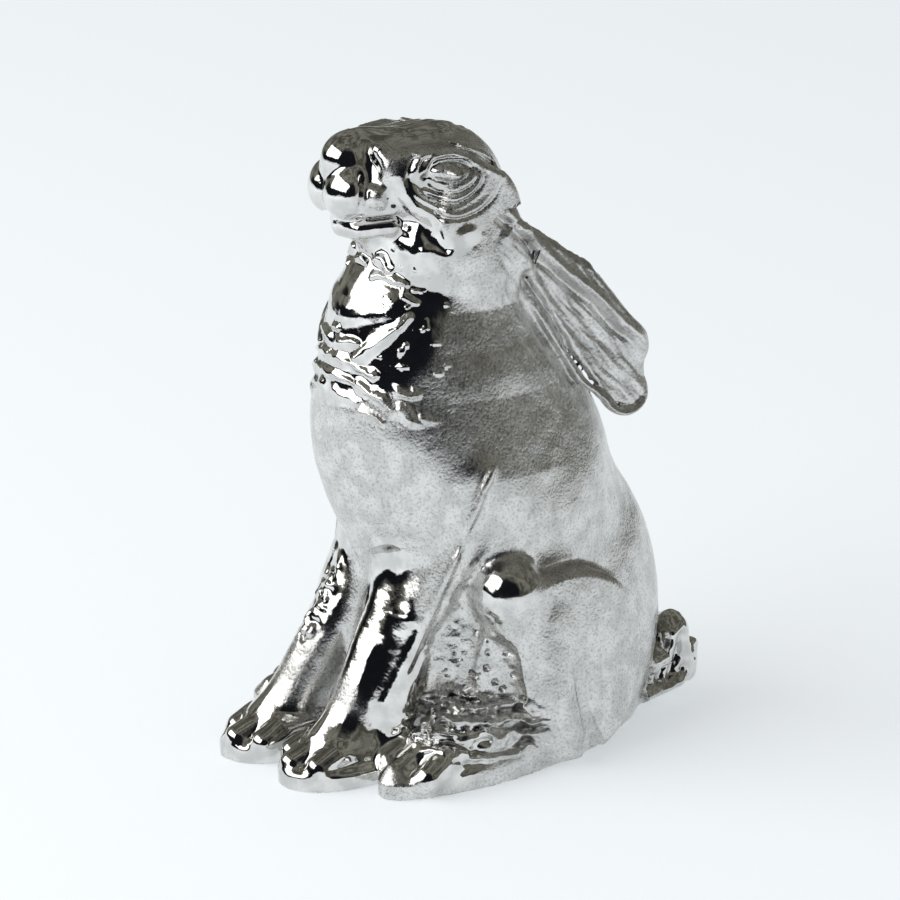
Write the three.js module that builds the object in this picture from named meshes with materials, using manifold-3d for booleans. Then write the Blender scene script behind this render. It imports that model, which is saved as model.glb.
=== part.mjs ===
// A cast pewter hare that sits upright with its head raised and its ears laid along its back.
// It is made as nine castings: trunk, head, two ears, two forelegs, two hind feet and a tail.
// Each one has a spigot that seats in a socket of its neighbour, where the two are soldered.
// Millimetres, +Z up, the hare faces -Y and its left side is +X. The origin is on the floor,
// in the middle of the flat underside of the trunk.

import * as THREE from "three";
import { mergeVertices } from "three/addons/utils/BufferGeometryUtils.js";
import Module from "manifold-3d";

const wasm = await Module();
wasm.setup();

// Trunk: rump, barrel, chest and belly
const RUMP_WIDTH = 18.4;
const RUMP_LENGTH = 25.5;
const RUMP_HEIGHT = 33;
const RUMP_Y = 3.5;
const BARREL_WIDTH = 20.5;
const BARREL_LENGTH = 22;
const BARREL_HEIGHT = 26;
const BARREL_Y = 0.2;
const CHEST_WIDTH = 19.5;
const CHEST_LENGTH = 20.6;
const CHEST_HEIGHT = 21;
const CHEST_Y = -2.6;
const CHEST_Z = 26.6;
const BELLY_WIDTH = 16;
const BELLY_LENGTH = 16;
const BELLY_HEIGHT = 20;
const SHOULDER_EDGE = 9.9;
const SHOULDER_TILT = 19;
const UPPER_ARM_RADIUS = 2.2;

// Neck and head
const NECK_LENGTH = 18;
const NECK_RADIUS = 5.6;
const NECK_BASE_RADIUS = 8;
const RUFF_RADIUS = 6.2;
const HEAD_Y = -3.4;
const SKULL_WIDTH = 10.6;
const SKULL_LENGTH = 11.4;
const SKULL_HEIGHT = 10.8;
const MUZZLE_WIDTH = 4.6;
const MUZZLE_HEIGHT = 7.8;
const MUZZLE_REACH = 10.3;
const LOBE_WIDTH = 4.6;
const LOBE_HEIGHT = 4.6;
const EYE_LENGTH = 3;
const EYE_HEIGHT = 1.6;
const TEMPLE_LENGTH = 7.8;
const TEMPLE_HEIGHT = 5.2;

// Ears
const EAR_LENGTH = 16.8;
const EAR_ROOT_WIDTH = 4.8;
const EAR_WIDTH = 7;
const EAR_TIP_WIDTH = 4.4;
const EAR_THICKNESS = 2.1;
const EAR_DROOP = 45;
const EAR_TIP_DROOP = 68;
const EAR_SPLAY = 0.2;
const EAR_DISH = 0.04;

// Haunches, legs and feet
const HAUNCH_FACE = 10.9;
const HAUNCH_Y = 3;
const HAUNCH_Z = 8.4;
const HAUNCH_LENGTH = 14.6;
const HAUNCH_HEIGHT = 16.2;
const HAUNCH_EDGE = 0.9;
const HAUNCH_DOME = 0.013;
const HAUNCH_SPREAD = 7.4;
const KNEE_LENGTH = 5.8;
const KNEE_HEIGHT = 4.4;
const RECESS_FLATNESS = 1.9;
const FORELEG_RADIUS = 2.3;
const FORELEG_SPREAD = 3.7;
const FORELEG_STRIDE = 1.1;
const FOREPAW_LENGTH = 9.6;
const FOREPAW_WIDTH = 5.8;
const FOREPAW_HEIGHT = 4.4;
const HIND_FOOT_LENGTH = 19.4;
const HIND_FOOT_WIDTH = 6.2;
const HIND_FOOT_HEIGHT = 4.4;
const LEFT_TOE_OUT = 12;
const RIGHT_TOE_OUT = 21;
const TOE_RADIUS = 1.2;
const FORE_SOLE_HEIGHT = 1.6;
const HIND_SOLE_HEIGHT = 1.7;
const HOCK_HEIGHT = 9;

// Tail
const TAIL_LENGTH = 7.4;
const TAIL_WIDTH = 4.8;
const TAIL_THICKNESS = 3;
const TAIL_RISE = 3;

// Joints between the castings
const JOINT_GAP = 0.3;
const NECK_JOINT_TILT = 27;
const NECK_SPIGOT_RADIUS = 2.4;
const NECK_SPIGOT_LENGTH = 4;

// Width of the facets that stand for the smooth surface
const TRUNK_FACET = 1.22;
const HEAD_FACET = 0.66;
const LIMB_FACET = 0.95;
const EAR_FACET = 0.8;

// Distance from a point to a form, negative inside. Every form is a function of x, y and z.

function ellipsoid([cx, cy, cz], [rx, ry, rz], turn = [0, 0, 0]) {
  const euler = new THREE.Euler(...turn.map(THREE.MathUtils.degToRad));
  const e = new THREE.Matrix4().makeRotationFromEuler(euler).transpose().elements;
  return (x, y, z) => {
    const dx = x - cx;
    const dy = y - cy;
    const dz = z - cz;
    const u = (e[0] * dx + e[4] * dy + e[8] * dz) / rx;
    const v = (e[1] * dx + e[5] * dy + e[9] * dz) / ry;
    const w = (e[2] * dx + e[6] * dy + e[10] * dz) / rz;
    const reach = Math.sqrt(u * u + v * v + w * w);
    const slope = Math.sqrt((u * u) / (rx * rx) + (v * v) / (ry * ry) + (w * w) / (rz * rz));
    return slope > 1e-9 ? (reach * (reach - 1)) / slope : -Math.min(rx, ry, rz);
  };
}

// A round limb whose radius changes along a line of joints, each [x, y, z, radius].
function limb(...joints) {
  return (x, y, z) => {
    let least = Infinity;
    for (let i = 0; i + 1 < joints.length; i++) {
      const [ax, ay, az, ar] = joints[i];
      const [bx, by, bz, br] = joints[i + 1];
      const ux = bx - ax;
      const uy = by - ay;
      const uz = bz - az;
      const along = ((x - ax) * ux + (y - ay) * uy + (z - az) * uz) / (ux * ux + uy * uy + uz * uz);
      const t = Math.min(1, Math.max(0, along));
      const gap = Math.hypot(x - ax - ux * t, y - ay - uy * t, z - az - uz * t) - ar - (br - ar) * t;
      least = Math.min(least, gap);
    }
    return least;
  };
}

function melt(a, b, blend) {
  const h = Math.max(blend - Math.abs(a - b), 0) / blend;
  return Math.min(a, b) - (h * h * blend) / 4;
}

const melted = (blend, ...forms) => (x, y, z) =>
  forms.reduce((d, form) => melt(d, form(x, y, z), blend), 1e3);
const carved = (form, blend, ...cuts) => (x, y, z) =>
  cuts.reduce((d, cut) => -melt(-d, cut(x, y, z), blend), form(x, y, z));
// Both flanks of a folded form are like its left one.
const folded = (form) => (x, y, z) => form(Math.abs(x), y, z);
const mirrored = (form) => (x, y, z) => form(-x, y, z);
const grown = (form, by) => (x, y, z) => form(x, y, z) - by;

// A limb that is thinner across the hare than along it.
function flatLimb(flatness, ...joints) {
  const round = limb(...joints.map(([x, y, z, radius]) => [x * flatness, y, z, radius]));
  return (x, y, z) => round(x * flatness, y, z) / flatness;
}

// A rounded slab that faces aside, with an oval outline. It sinks inwards around its middle by
// its dome, and sinks further towards the hare's back.
function slab([middleY, middleZ], [length, height], face, edge, flare, dome) {
  const [reachY, reachZ] = [length / 2 - edge, height / 2 - edge];
  const level = reachY / 4;
  return (x, y, z) => {
    const [v, w] = [y - middleY, z - middleZ];
    const beyond = Math.max(0, (Math.hypot(v / reachY, w / reachZ) - 1) * Math.min(reachY, reachZ));
    const behind = Math.max(0, v - level);
    const lean = face + flare * v - dome * (v * v + w * w + 4 * behind * behind);
    return Math.hypot(beyond, Math.max(0, x - lean)) - edge;
  };
}

// A low rounded step under a foot.
function plinth([middleX, middleY], [width, length], turn, height) {
  const edge = 0.6;
  const [c, s] = [Math.cos(turn), Math.sin(turn)];
  return (x, y, z) => {
    const [dx, dy] = [x - middleX, y - middleY];
    const across = (c * dx + s * dy) / (width / 2);
    const ahead = (c * dy - s * dx) / (length / 2);
    const beyond = Math.max(0, ((Math.hypot(across, ahead) - 1) * Math.min(width, length)) / 2);
    return Math.hypot(beyond, Math.max(0, z - height + edge)) - edge;
  };
}

// The surface of a form inside a box, as a closed solid of facets about one grid step wide.
// Each grid cell that the surface passes through holds one corner of the facets, or one for each
// sheet of the surface where more than one passes through it.
const SQUARE = [[0, 0], [1, 0], [0, 1], [1, 1]];
const edgeNumber = (axis, du, dv) => axis * 4 + dv * 2 + du;

function cast(form, low, high, facet) {
  const [nx, ny, nz] = low.map((value, axis) => Math.ceil((high[axis] - value) / facet) + 1);
  const strides = [1, nx, nx * ny];
  const depth = new Float32Array(nx * ny * nz);
  const onEdge = (i, n) => i === 0 || i === n - 1;
  for (let k = 0, at = 0; k < nz; k++) {
    for (let j = 0; j < ny; j++) {
      for (let i = 0; i < nx; i++, at++) {
        const d = form(low[0] + i * facet, low[1] + j * facet, low[2] + k * facet);
        const closed = onEdge(i, nx) || onEdge(j, ny) || onEdge(k, nz);
        depth[at] = closed ? Math.max(d, facet / 2) : d;
      }
    }
  }
  const crosses = (a, b) => depth[a] < 0 !== depth[b] < 0;
  const edgeStart = (cell, axis, du, dv) =>
    cell + du * strides[(axis + 1) % 3] + dv * strides[(axis + 2) % 3];

  // For each of a cell's twelve edges, the sheet that crosses it, named after one of its edges.
  const sheetsOf = (cell) => {
    const sheets = new Array(12).fill(-1);
    for (let axis = 0; axis < 3; axis++) {
      for (const [du, dv] of SQUARE) {
        const from = edgeStart(cell, axis, du, dv);
        const number = edgeNumber(axis, du, dv);
        if (crosses(from, from + strides[axis])) sheets[number] = number;
      }
    }
    const link = (a, b) => {
      const [kept, lost] = [sheets[a], sheets[b]];
      sheets.forEach((sheet, number) => {
        if (sheet === lost) sheets[number] = kept;
      });
    };
    for (let normal = 0; normal < 3; normal++) {
      const [p, q] = [(normal + 1) % 3, (normal + 2) % 3];
      for (const side of [0, 1]) {
        const alongP = [0, 1].map((t) => edgeNumber(p, t, side));
        const alongQ = [0, 1].map((t) => edgeNumber(q, side, t));
        const crossed = [...alongP, ...alongQ].filter((number) => sheets[number] >= 0);
        if (crossed.length === 2) link(...crossed);
        if (crossed.length === 4) {
          const paired = depth[cell + side * strides[normal]] < 0 ? 0 : 1;
          link(alongP[0], alongQ[paired]);
          link(alongP[1], alongQ[1 - paired]);
        }
      }
    }
    return sheets;
  };

  const places = [];
  const known = new Map();
  const cornersOf = (cell) => {
    if (known.has(cell)) return known.get(cell);
    const sheets = sheetsOf(cell);
    const numbers = new Map();
    for (const sheet of new Set(sheets.filter((number) => number >= 0))) {
      numbers.set(sheet, places.length / 3);
      places.push(...sheetCorner(cell, sheets, sheet));
    }
    known.set(cell, sheets.map((sheet) => numbers.get(sheet)));
    return known.get(cell);
  };
  const sheetCorner = (cell, sheets, sheet) => {
    const start = [cell % nx, Math.floor(cell / nx) % ny, Math.floor(cell / (nx * ny))];
    const sum = [0, 0, 0];
    let count = 0;
    for (let axis = 0; axis < 3; axis++) {
      for (const [du, dv] of SQUARE) {
        if (sheets[edgeNumber(axis, du, dv)] !== sheet) continue;
        const from = edgeStart(cell, axis, du, dv);
        sum[axis] += depth[from] / (depth[from] - depth[from + strides[axis]]);
        sum[(axis + 1) % 3] += du;
        sum[(axis + 2) % 3] += dv;
        count++;
      }
    }
    const middle = sum.map((total, axis) => low[axis] + (start[axis] + total / count) * facet);
    return settled(form, middle, facet);
  };
  // How far the middle of a chord between two corners lies from the surface.
  const offAt = (p, q) => {
    const [x, y, z] = [0, 1, 2].map((n) => (places[p * 3 + n] + places[q * 3 + n]) / 2);
    return Math.abs(form(x, y, z));
  };
  const faces = [];
  for (let from = 0; from < depth.length; from++) {
    for (let axis = 0; axis < 3; axis++) {
      const to = from + strides[axis];
      if (to >= depth.length || !crosses(from, to)) continue;
      const ring = [[0, 0], [1, 0], [1, 1], [0, 1]].map(([du, dv]) => {
        const cell = 2 * from - edgeStart(from, axis, du, dv);
        return cornersOf(cell)[edgeNumber(axis, du, dv)];
      });
      if (depth[from] >= 0) ring.reverse();
      const [a, b, c, d] = ring;
      faces.push(...(offAt(a, c) < offAt(b, d) ? [a, b, c, a, c, d] : [a, b, d, b, c, d]));
    }
  }
  return new wasm.Manifold(new wasm.Mesh({
    numProp: 3,
    vertProperties: new Float32Array(places),
    triVerts: new Uint32Array(faces),
  }));
}

// Moves a point that is near the surface of a form onto it.
function settled(form, [x, y, z], facet) {
  for (let pass = 0; pass < 2; pass++) {
    const d = form(x, y, z);
    if (Math.abs(d) > facet / 2) break;
    const step = 0.05;
    const gx = form(x + step, y, z) - form(x - step, y, z);
    const gy = form(x, y + step, z) - form(x, y - step, z);
    const gz = form(x, y, z + step) - form(x, y, z - step);
    const length = Math.hypot(gx, gy, gz) || 1;
    x -= (gx / length) * d;
    y -= (gy / length) * d;
    z -= (gz / length) * d;
  }
  return [x, y, z];
}

// Forms of the trunk. The head and neck are melted into it, and the neck joint cuts them apart.
const HEAD_Z = CHEST_Z + NECK_LENGTH;
const RUMP_SUNK = 7.7;

const fromHaunch = ([x, y, z, ...rest]) => [HAUNCH_FACE + x, HAUNCH_Y + y, HAUNCH_Z + z, ...rest];
const fromChest = ([x, y, z, ...rest]) => [x, CHEST_Y + y, CHEST_Z + z, ...rest];
const fromHead = ([x, y, z, ...rest]) => [x, HEAD_Y + y, HEAD_Z + z, ...rest];

// The flank above the haunch is a flat that leans inwards towards the back of the neck.
function shoulderFlat(x, y, z) {
  const tilt = THREE.MathUtils.degToRad(SHOULDER_TILT);
  return (SHOULDER_EDGE - x) * Math.cos(tilt) - (z - CHEST_Z + 4.6) * Math.sin(tilt) - (y - 2.6) * 0.05;
}

function trunkForm() {
  const rump = ellipsoid(
    [0, RUMP_Y, RUMP_HEIGHT / 2 - RUMP_SUNK],
    [RUMP_WIDTH / 2, RUMP_LENGTH / 2, RUMP_HEIGHT / 2],
  );
  const barrel = ellipsoid(
    [0, BARREL_Y, CHEST_Z - 5.4],
    [BARREL_WIDTH / 2, BARREL_LENGTH / 2, BARREL_HEIGHT / 2],
    [8, 0, 0],
  );
  const chest = ellipsoid([0, CHEST_Y, CHEST_Z], [CHEST_WIDTH / 2, CHEST_LENGTH / 2, CHEST_HEIGHT / 2]);
  const neck = limb(
    [0, CHEST_Y + 0.6, CHEST_Z - 2.6, NECK_BASE_RADIUS + 1.4],
    [0, CHEST_Y + 0.6, CHEST_Z + 3.4, NECK_BASE_RADIUS],
    [0, CHEST_Y + 0.4, HEAD_Z - 8, NECK_RADIUS + 0.9],
    [0, HEAD_Y + 0.4, HEAD_Z - 3, NECK_RADIUS - 0.5],
  );
  const ruff = ellipsoid(
    [0, CHEST_Y - 4, CHEST_Z + 6],
    [RUFF_RADIUS, RUFF_RADIUS - 0.8, RUFF_RADIUS + 2.4],
  );
  const belly = ellipsoid([0, -2.4, 9], [BELLY_WIDTH / 2, BELLY_LENGTH / 2, BELLY_HEIGHT / 2]);
  const upperArm = limb(
    fromChest([FORELEG_SPREAD + 3.9, -1.4, -2.6, UPPER_ARM_RADIUS]),
    fromChest([FORELEG_SPREAD + 3.6, -2.8, -8.6, UPPER_ARM_RADIUS - 0.3]),
    fromChest([FORELEG_SPREAD + 1.9, -5.2, -14.6, UPPER_ARM_RADIUS - 0.7]),
    fromChest([FORELEG_SPREAD + 1.3, -7.2, -20.6, UPPER_ARM_RADIUS - 0.9]),
  );
  const barrelCut = carved(melted(2, rump, barrel, chest), 1.6, shoulderFlat);
  const front = melted(0.8, melted(2, barrelCut, neck, ruff, belly), upperArm);
  return folded(carved(melted(0.5, front, haunchForm()), 0.3, ...flankCuts()));
}

// The haunch is a slab with the knee at its front corner and the shin and heel below it.
function haunchForm() {
  const thigh = slab(
    [HAUNCH_Y, HAUNCH_Z], [HAUNCH_LENGTH, HAUNCH_HEIGHT], HAUNCH_FACE, HAUNCH_EDGE, 0.03, HAUNCH_DOME,
  );
  const shin = limb(
    fromHaunch([-1, -2.1, 3.6, 1.2]),
    fromHaunch([-0.4, -1.8, -2.4, 1.7]),
    fromHaunch([-0.4, -1.2, -5, 2]),
  );
  const knee = ellipsoid(fromHaunch([-1, -4.9, 6.7]), [1.75, KNEE_LENGTH / 2, KNEE_HEIGHT / 2], [35, 0, 0]);
  return melted(0.4, melted(1.6, thigh, shin), knee);
}

// The hollow between foreleg and haunch, and the crease behind the heel.
function flankCuts() {
  const recess = flatLimb(
    RECESS_FLATNESS,
    fromHaunch([-0.1, -9.9, 9, 0.9]), fromHaunch([0, -9.8, 4.8, 2.4]),
    fromHaunch([-0.1, -8.7, 0.4, 3.8]), fromHaunch([-0.1, -8.4, -4, 4.4]),
  );
  const heelCrease = limb(
    fromHaunch([1.9, 0.4, -0.2, 0.5]), fromHaunch([1.6, 1.6, -3.4, 0.8]), fromHaunch([0.7, 2.8, -7, 1.5]),
  );
  return [recess, heelCrease];
}

function headForm() {
  const skull = ellipsoid([0, HEAD_Y, HEAD_Z], [SKULL_WIDTH / 2, SKULL_LENGTH / 2, SKULL_HEIGHT / 2]);
  const bridge = limb(
    [0, HEAD_Y - 1.6, HEAD_Z + SKULL_HEIGHT / 2 - 4, 3.9],
    [0, HEAD_Y + 2.8 - MUZZLE_REACH, HEAD_Z + SKULL_HEIGHT / 2 - 1.7, 1.8],
  );
  const muzzle = ellipsoid(
    [0, HEAD_Y + 4.4 - MUZZLE_REACH, HEAD_Z + 1.8],
    [MUZZLE_WIDTH / 2, 3.2, MUZZLE_HEIGHT / 2],
  );
  const jaw = limb([0, HEAD_Y - 2, HEAD_Z - 2.6, 3.2], [0, HEAD_Y + 3.6 - MUZZLE_REACH, HEAD_Z - 1.4, 1.4]);
  const cheek = ellipsoid(fromHead([SKULL_WIDTH / 2 - 2, -0.4, -3]), [2.9, 4.2, 3.2]);
  const jowl = limb(
    fromHead([3.3, -3, -3.6, 1.7]), fromHead([4.2, 0.6, -4.1, 2.1]), fromHead([4.5, 4, -4.7, 1.9]),
  );
  const temple = slab([HEAD_Y - 1.6, HEAD_Z + 2.2], [TEMPLE_LENGTH, TEMPLE_HEIGHT], 4.9, 0.7, 0.1, 0);
  const lobe = ellipsoid(
    fromHead([1.2, 2.5 - MUZZLE_REACH, 1.4]), [LOBE_WIDTH / 2, 1.95, LOBE_HEIGHT / 2], [-20, 0, 0],
  );
  const corner = ellipsoid(fromHead([3, -6.2, 1.2]), [1.1, 1.2, 1.1]);
  const valley = limb(
    fromHead([1.8, -6.8, 6, 0.3]), fromHead([3.1, -7, 3.8, 0.8]),
    fromHead([3.8, -7.5, 1.6, 0.7]), fromHead([3.6, -8, 0.4, 0.3]),
  );
  const hollow = limb(
    fromHead([4.2, -6, 1.3, 0.4]), fromHead([4.9, -5.2, 0, 0.9]),
    fromHead([5.7, -3.8, -1.4, 1]), fromHead([6.3, -2.4, -2.7, 0.4]),
  );
  const upperLip = limb(
    fromHead([0, -8.5, 0, 0.5]), fromHead([2.4, -7.2, 0, 0.55]), fromHead([3.4, -5.4, 0.2, 0.5]),
  );
  const lowerLip = limb(
    fromHead([0, -7.8, -1.6, 0.85]), fromHead([1.6, -7.1, -1.6, 0.8]), fromHead([2.9, -5.2, -1.3, 0.75]),
  );
  const orbit = limb(
    fromHead([2.4, -5.8, 4.5, 0.7]), fromHead([3.6, -5, 2.8, 1]),
    fromHead([4.6, -3.8, 0.6, 0.9]), fromHead([5.1, -2.2, -0.7, 0.7]),
  );
  const pouch = ellipsoid(fromHead([4.9, -0.5, -1.9]), [1.6, 1.9, 1.6], [10, 0, 0]);
  const eye = ellipsoid(fromHead([4.8, -1.6, 3]), [1.1, EYE_LENGTH / 2, EYE_HEIGHT / 2]);
  const mouth = limb(
    fromHead([0, -9.2, -0.7, 0.45]), fromHead([2.2, -7.8, -0.8, 0.35]), fromHead([3.4, -5.8, -0.6, 0.15]),
  );
  const skullAndJaw = melted(1.4, skull, bridge, muzzle, jaw, cheek, jowl);
  const face = melted(0.3, melted(0.5, skullAndJaw, temple), lobe);
  const nose = carved(melted(0.3, carved(face, 0.6, valley), corner), 0.5, hollow);
  return folded(carved(melted(0.35, nose, upperLip, lowerLip, orbit, pouch, eye), 0.2, mouth));
}

// A leaf that lies along the body. Its outline is a round limb seen from the side, and its
// middle stands out from the mid plane by the amount that lean gives for each y and z.
function leaf(outline, lean, thickness) {
  return (x, y, z) => {
    const beyond = Math.max(0, outline(0, y, z) + thickness / 2);
    return Math.hypot(beyond, x - lean(y, z)) - thickness / 2;
  };
}

// The ear's middle line droops from its root and bends further down near its tip.
function earForm() {
  const joints = [[0, HEAD_Y + 4, HEAD_Z - 3.4, EAR_ROOT_WIDTH / 2]];
  const step = (angle, share, width) => {
    const [, y, z] = joints[joints.length - 1];
    const droop = THREE.MathUtils.degToRad(angle);
    const length = EAR_LENGTH * share;
    joints.push([0, y + length * Math.cos(droop), z - length * Math.sin(droop), width / 2]);
  };
  step(EAR_DROOP, 0.36, EAR_WIDTH * 0.92);
  step((EAR_DROOP + EAR_TIP_DROOP) / 2, 0.36, EAR_WIDTH);
  step(EAR_TIP_DROOP, 0.2, EAR_TIP_WIDTH);
  const [, rootY, rootZ] = joints[0];
  const [, tipY, tipZ] = joints[2];
  const run = Math.hypot(tipY - rootY, tipZ - rootZ);
  const lean = (y, z) => {
    const along = ((y - rootY) * (tipY - rootY) + (z - rootZ) * (tipZ - rootZ)) / run;
    const aside = ((y - rootY) * (rootZ - tipZ) + (z - rootZ) * (tipY - rootY)) / run;
    return SKULL_WIDTH / 2 - 1.5 + EAR_SPLAY * along + EAR_DISH * aside * aside;
  };
  return leaf(limb(...joints), lean, EAR_THICKNESS);
}

// Three toes that fan out from the front of a paw. The middle one reaches furthest.
function toes(x, y, reach, turn, width) {
  const ahead = new THREE.Vector2(Math.sin(turn), -Math.cos(turn));
  return [-1.1, -0.1, 0.9].map((place) => {
    const aside = (place * (width - TOE_RADIUS * 1.4)) / 2;
    const length = reach - Math.abs(place + 0.1) * 1.2;
    const root = [x - ahead.y * aside * 0.8, y + ahead.x * aside * 0.8];
    const tip = [x - ahead.y * aside + ahead.x * length, y + ahead.x * aside + ahead.y * length];
    const knuckle = root.map((value, axis) => (value + tip[axis] * 2) / 3);
    return limb(
      [...root, TOE_RADIUS * 2.2, TOE_RADIUS * 0.85],
      [...knuckle, TOE_RADIUS * 2, TOE_RADIUS],
      [...tip, TOE_RADIUS * 1.35, TOE_RADIUS * 0.9],
    );
  });
}

// The right foreleg stands a little ahead of the left one, by the stride.
function forelegForm(stride) {
  const wrist = CHEST_Y - 7.8 - stride;
  const elbow = (CHEST_Y + wrist) / 2;
  const leg = limb(
    [FORELEG_SPREAD - 0.1, CHEST_Y - 2.9, CHEST_Z - 9, FORELEG_RADIUS + 0.7],
    [FORELEG_SPREAD - 0.6, elbow - 2.8, (CHEST_Z - 8.6) * 0.58, FORELEG_RADIUS + 0.1],
    [FORELEG_SPREAD - 0.2, wrist - 1, FOREPAW_HEIGHT + 0.6, FORELEG_RADIUS],
    [FORELEG_SPREAD, wrist - 3.8, FOREPAW_HEIGHT / 2 + 0.1, FORELEG_RADIUS - 0.1],
  );
  const outer = limb(
    [FORELEG_SPREAD + 0.6, elbow - 1.4, CHEST_Z - 11.6, 1.7],
    [FORELEG_SPREAD + 1.4, wrist + 0.6, FOREPAW_HEIGHT, 1.8],
    [FORELEG_SPREAD + 1.6, wrist + 0.2, 0.8, 1.6],
  );
  const paw = ellipsoid(
    [FORELEG_SPREAD, wrist - FOREPAW_LENGTH / 2 + 2.2, FOREPAW_HEIGHT / 2 - 0.6],
    [FOREPAW_WIDTH / 2 + 0.1, FOREPAW_LENGTH / 2 - 0.8, FOREPAW_HEIGHT / 2 + 0.1],
  );
  const sole = plinth(
    [FORELEG_SPREAD + 0.1, wrist - 3.4], [FOREPAW_WIDTH, FOREPAW_LENGTH - 1], 0, FORE_SOLE_HEIGHT,
  );
  const whole = melted(1.6, melted(0.5, leg, outer), paw);
  const pawToes = toes(FORELEG_SPREAD, wrist - 1.4, FOREPAW_LENGTH - 3.6, 0, FOREPAW_WIDTH);
  return melted(0.5, melted(0.25, whole, ...pawToes), sole);
}

function hindFootForm(toeOut) {
  const heel = new THREE.Vector3(HAUNCH_SPREAD - 1.2, RUMP_Y + 0.9, HIND_FOOT_HEIGHT / 2 - 0.4);
  const turn = THREE.MathUtils.degToRad(toeOut);
  const half = HIND_FOOT_LENGTH / 2;
  const along = (distance) => [heel.x + Math.sin(turn) * distance, heel.y - Math.cos(turn) * distance];
  const instep = ellipsoid(
    [...along(half - 3.4), 1],
    [HIND_FOOT_WIDTH / 2 + 0.3, half - 0.6, HIND_FOOT_HEIGHT + 1.4],
    [0, 0, toeOut],
  );
  const sole = plinth(
    along(half - 2.4), [HIND_FOOT_WIDTH - 0.4, HIND_FOOT_LENGTH - 1.2], turn, HIND_SOLE_HEIGHT,
  );
  const hock = limb([heel.x + 0.2, heel.y, heel.z, 2.8], [heel.x + 1, heel.y - 2.2, HOCK_HEIGHT, 3.1]);
  const [toeX, toeY] = along(HIND_FOOT_LENGTH - 8.8);
  const toed = melted(0.25, melted(1.2, instep, hock), ...toes(toeX, toeY, 6, turn, HIND_FOOT_WIDTH));
  return melted(0.5, toed, sole);
}

function tailForm() {
  const rootY = RUMP_Y + RUMP_LENGTH / 2 - 1.1;
  const back = rootY + TAIL_LENGTH - TAIL_WIDTH - 0.2;
  const outline = limb(
    [0, rootY - 6, 4.6, TAIL_WIDTH * 0.36],
    [0, rootY - 2.6, 2.2, TAIL_WIDTH * 0.42],
    [0, back, TAIL_WIDTH / 2 + 0.4, TAIL_WIDTH / 2],
    [0, back + 0.2, TAIL_WIDTH / 2 + TAIL_RISE, TAIL_WIDTH * 0.36],
  );
  const lean = (y) => 2.2 - 0.3 * (Math.max(y, rootY - 2) - rootY);
  const curl = limb([0.9, rootY + 4.4, 1.6, 1], [0.7, rootY + 5, 3.6, 0.7]);
  return melted(0.3, leaf(outline, lean, TAIL_THICKNESS), curl);
}

// Solids that cut the castings apart
const FIGURE_LOW = [-16, -24, -3];
const FIGURE_HIGH = [16, 24, 56];

function solidOf(geometry) {
  geometry.deleteAttribute("normal");
  geometry.deleteAttribute("uv");
  const merged = mergeVertices(geometry);
  return new wasm.Manifold(new wasm.Mesh({
    numProp: 3,
    vertProperties: merged.attributes.position.array,
    triVerts: new Uint32Array(merged.index.array),
  }));
}

const REACH = 120;
const floor = solidOf(new THREE.BoxGeometry(REACH, REACH, REACH).translate(0, 0, -REACH / 2));

// The joint's own frame has +Z up the neck, with the joint face at zero.
function inNeckFrame(geometry) {
  const tilt = THREE.MathUtils.degToRad(NECK_JOINT_TILT);
  return solidOf(geometry.rotateX(-tilt).translate(0, HEAD_Y + 1, HEAD_Z - 7.4));
}

function neckBlock(lowered) {
  return inNeckFrame(new THREE.BoxGeometry(REACH, REACH, REACH).translate(0, 0, REACH / 2 - lowered));
}

function neckSpigot(clearance) {
  const length = NECK_SPIGOT_LENGTH + 1 + clearance;
  const radius = NECK_SPIGOT_RADIUS + clearance;
  const pin = new THREE.CylinderGeometry(radius, radius, length, 24);
  return inNeckFrame(pin.rotateX(Math.PI / 2).translate(0, 0, 1 - length / 2));
}

function largest(solid) {
  return solid.decompose().reduce((a, b) => (b.volume() > a.volume() ? b : a));
}

const cutBy = (solid, ...cutters) => largest(cutters.reduce((s, cutter) => s.subtract(cutter), solid));
const castLimb = (form, facet) => cast(form, FIGURE_LOW, FIGURE_HIGH, facet);
const socketsFor = (forms, facet) =>
  Object.values(forms).map((form) => castLimb(grown(form, JOINT_GAP), facet));

const earForms = { left_ear: earForm(), right_ear: mirrored(earForm()) };
const forelegForms = {
  left_foreleg: forelegForm(0),
  right_foreleg: mirrored(forelegForm(FORELEG_STRIDE)),
};
const hindFootForms = {
  left_hind_foot: hindFootForm(LEFT_TOE_OUT),
  right_hind_foot: mirrored(hindFootForm(RIGHT_TOE_OUT)),
};
const tail = tailForm();

const earSockets = socketsFor(earForms, EAR_FACET);
const forelegSockets = socketsFor(forelegForms, LIMB_FACET * 1.1);
const hindFootSockets = socketsFor(hindFootForms, LIMB_FACET * 1.1);
const tailSockets = socketsFor({ tail }, EAR_FACET);

const figureForm = melted(1.6, trunkForm(), headForm());
const [rightSide, front, below] = FIGURE_LOW;
const [leftSide, back, above] = FIGURE_HIGH;
const trunkBlank = cast(figureForm, [rightSide, front, below], [leftSide, back, HEAD_Z], TRUNK_FACET);
const headBlank = cast(
  figureForm, [rightSide, front, HEAD_Z - NECK_LENGTH + 4], [leftSide, back, above], HEAD_FACET,
);

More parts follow.
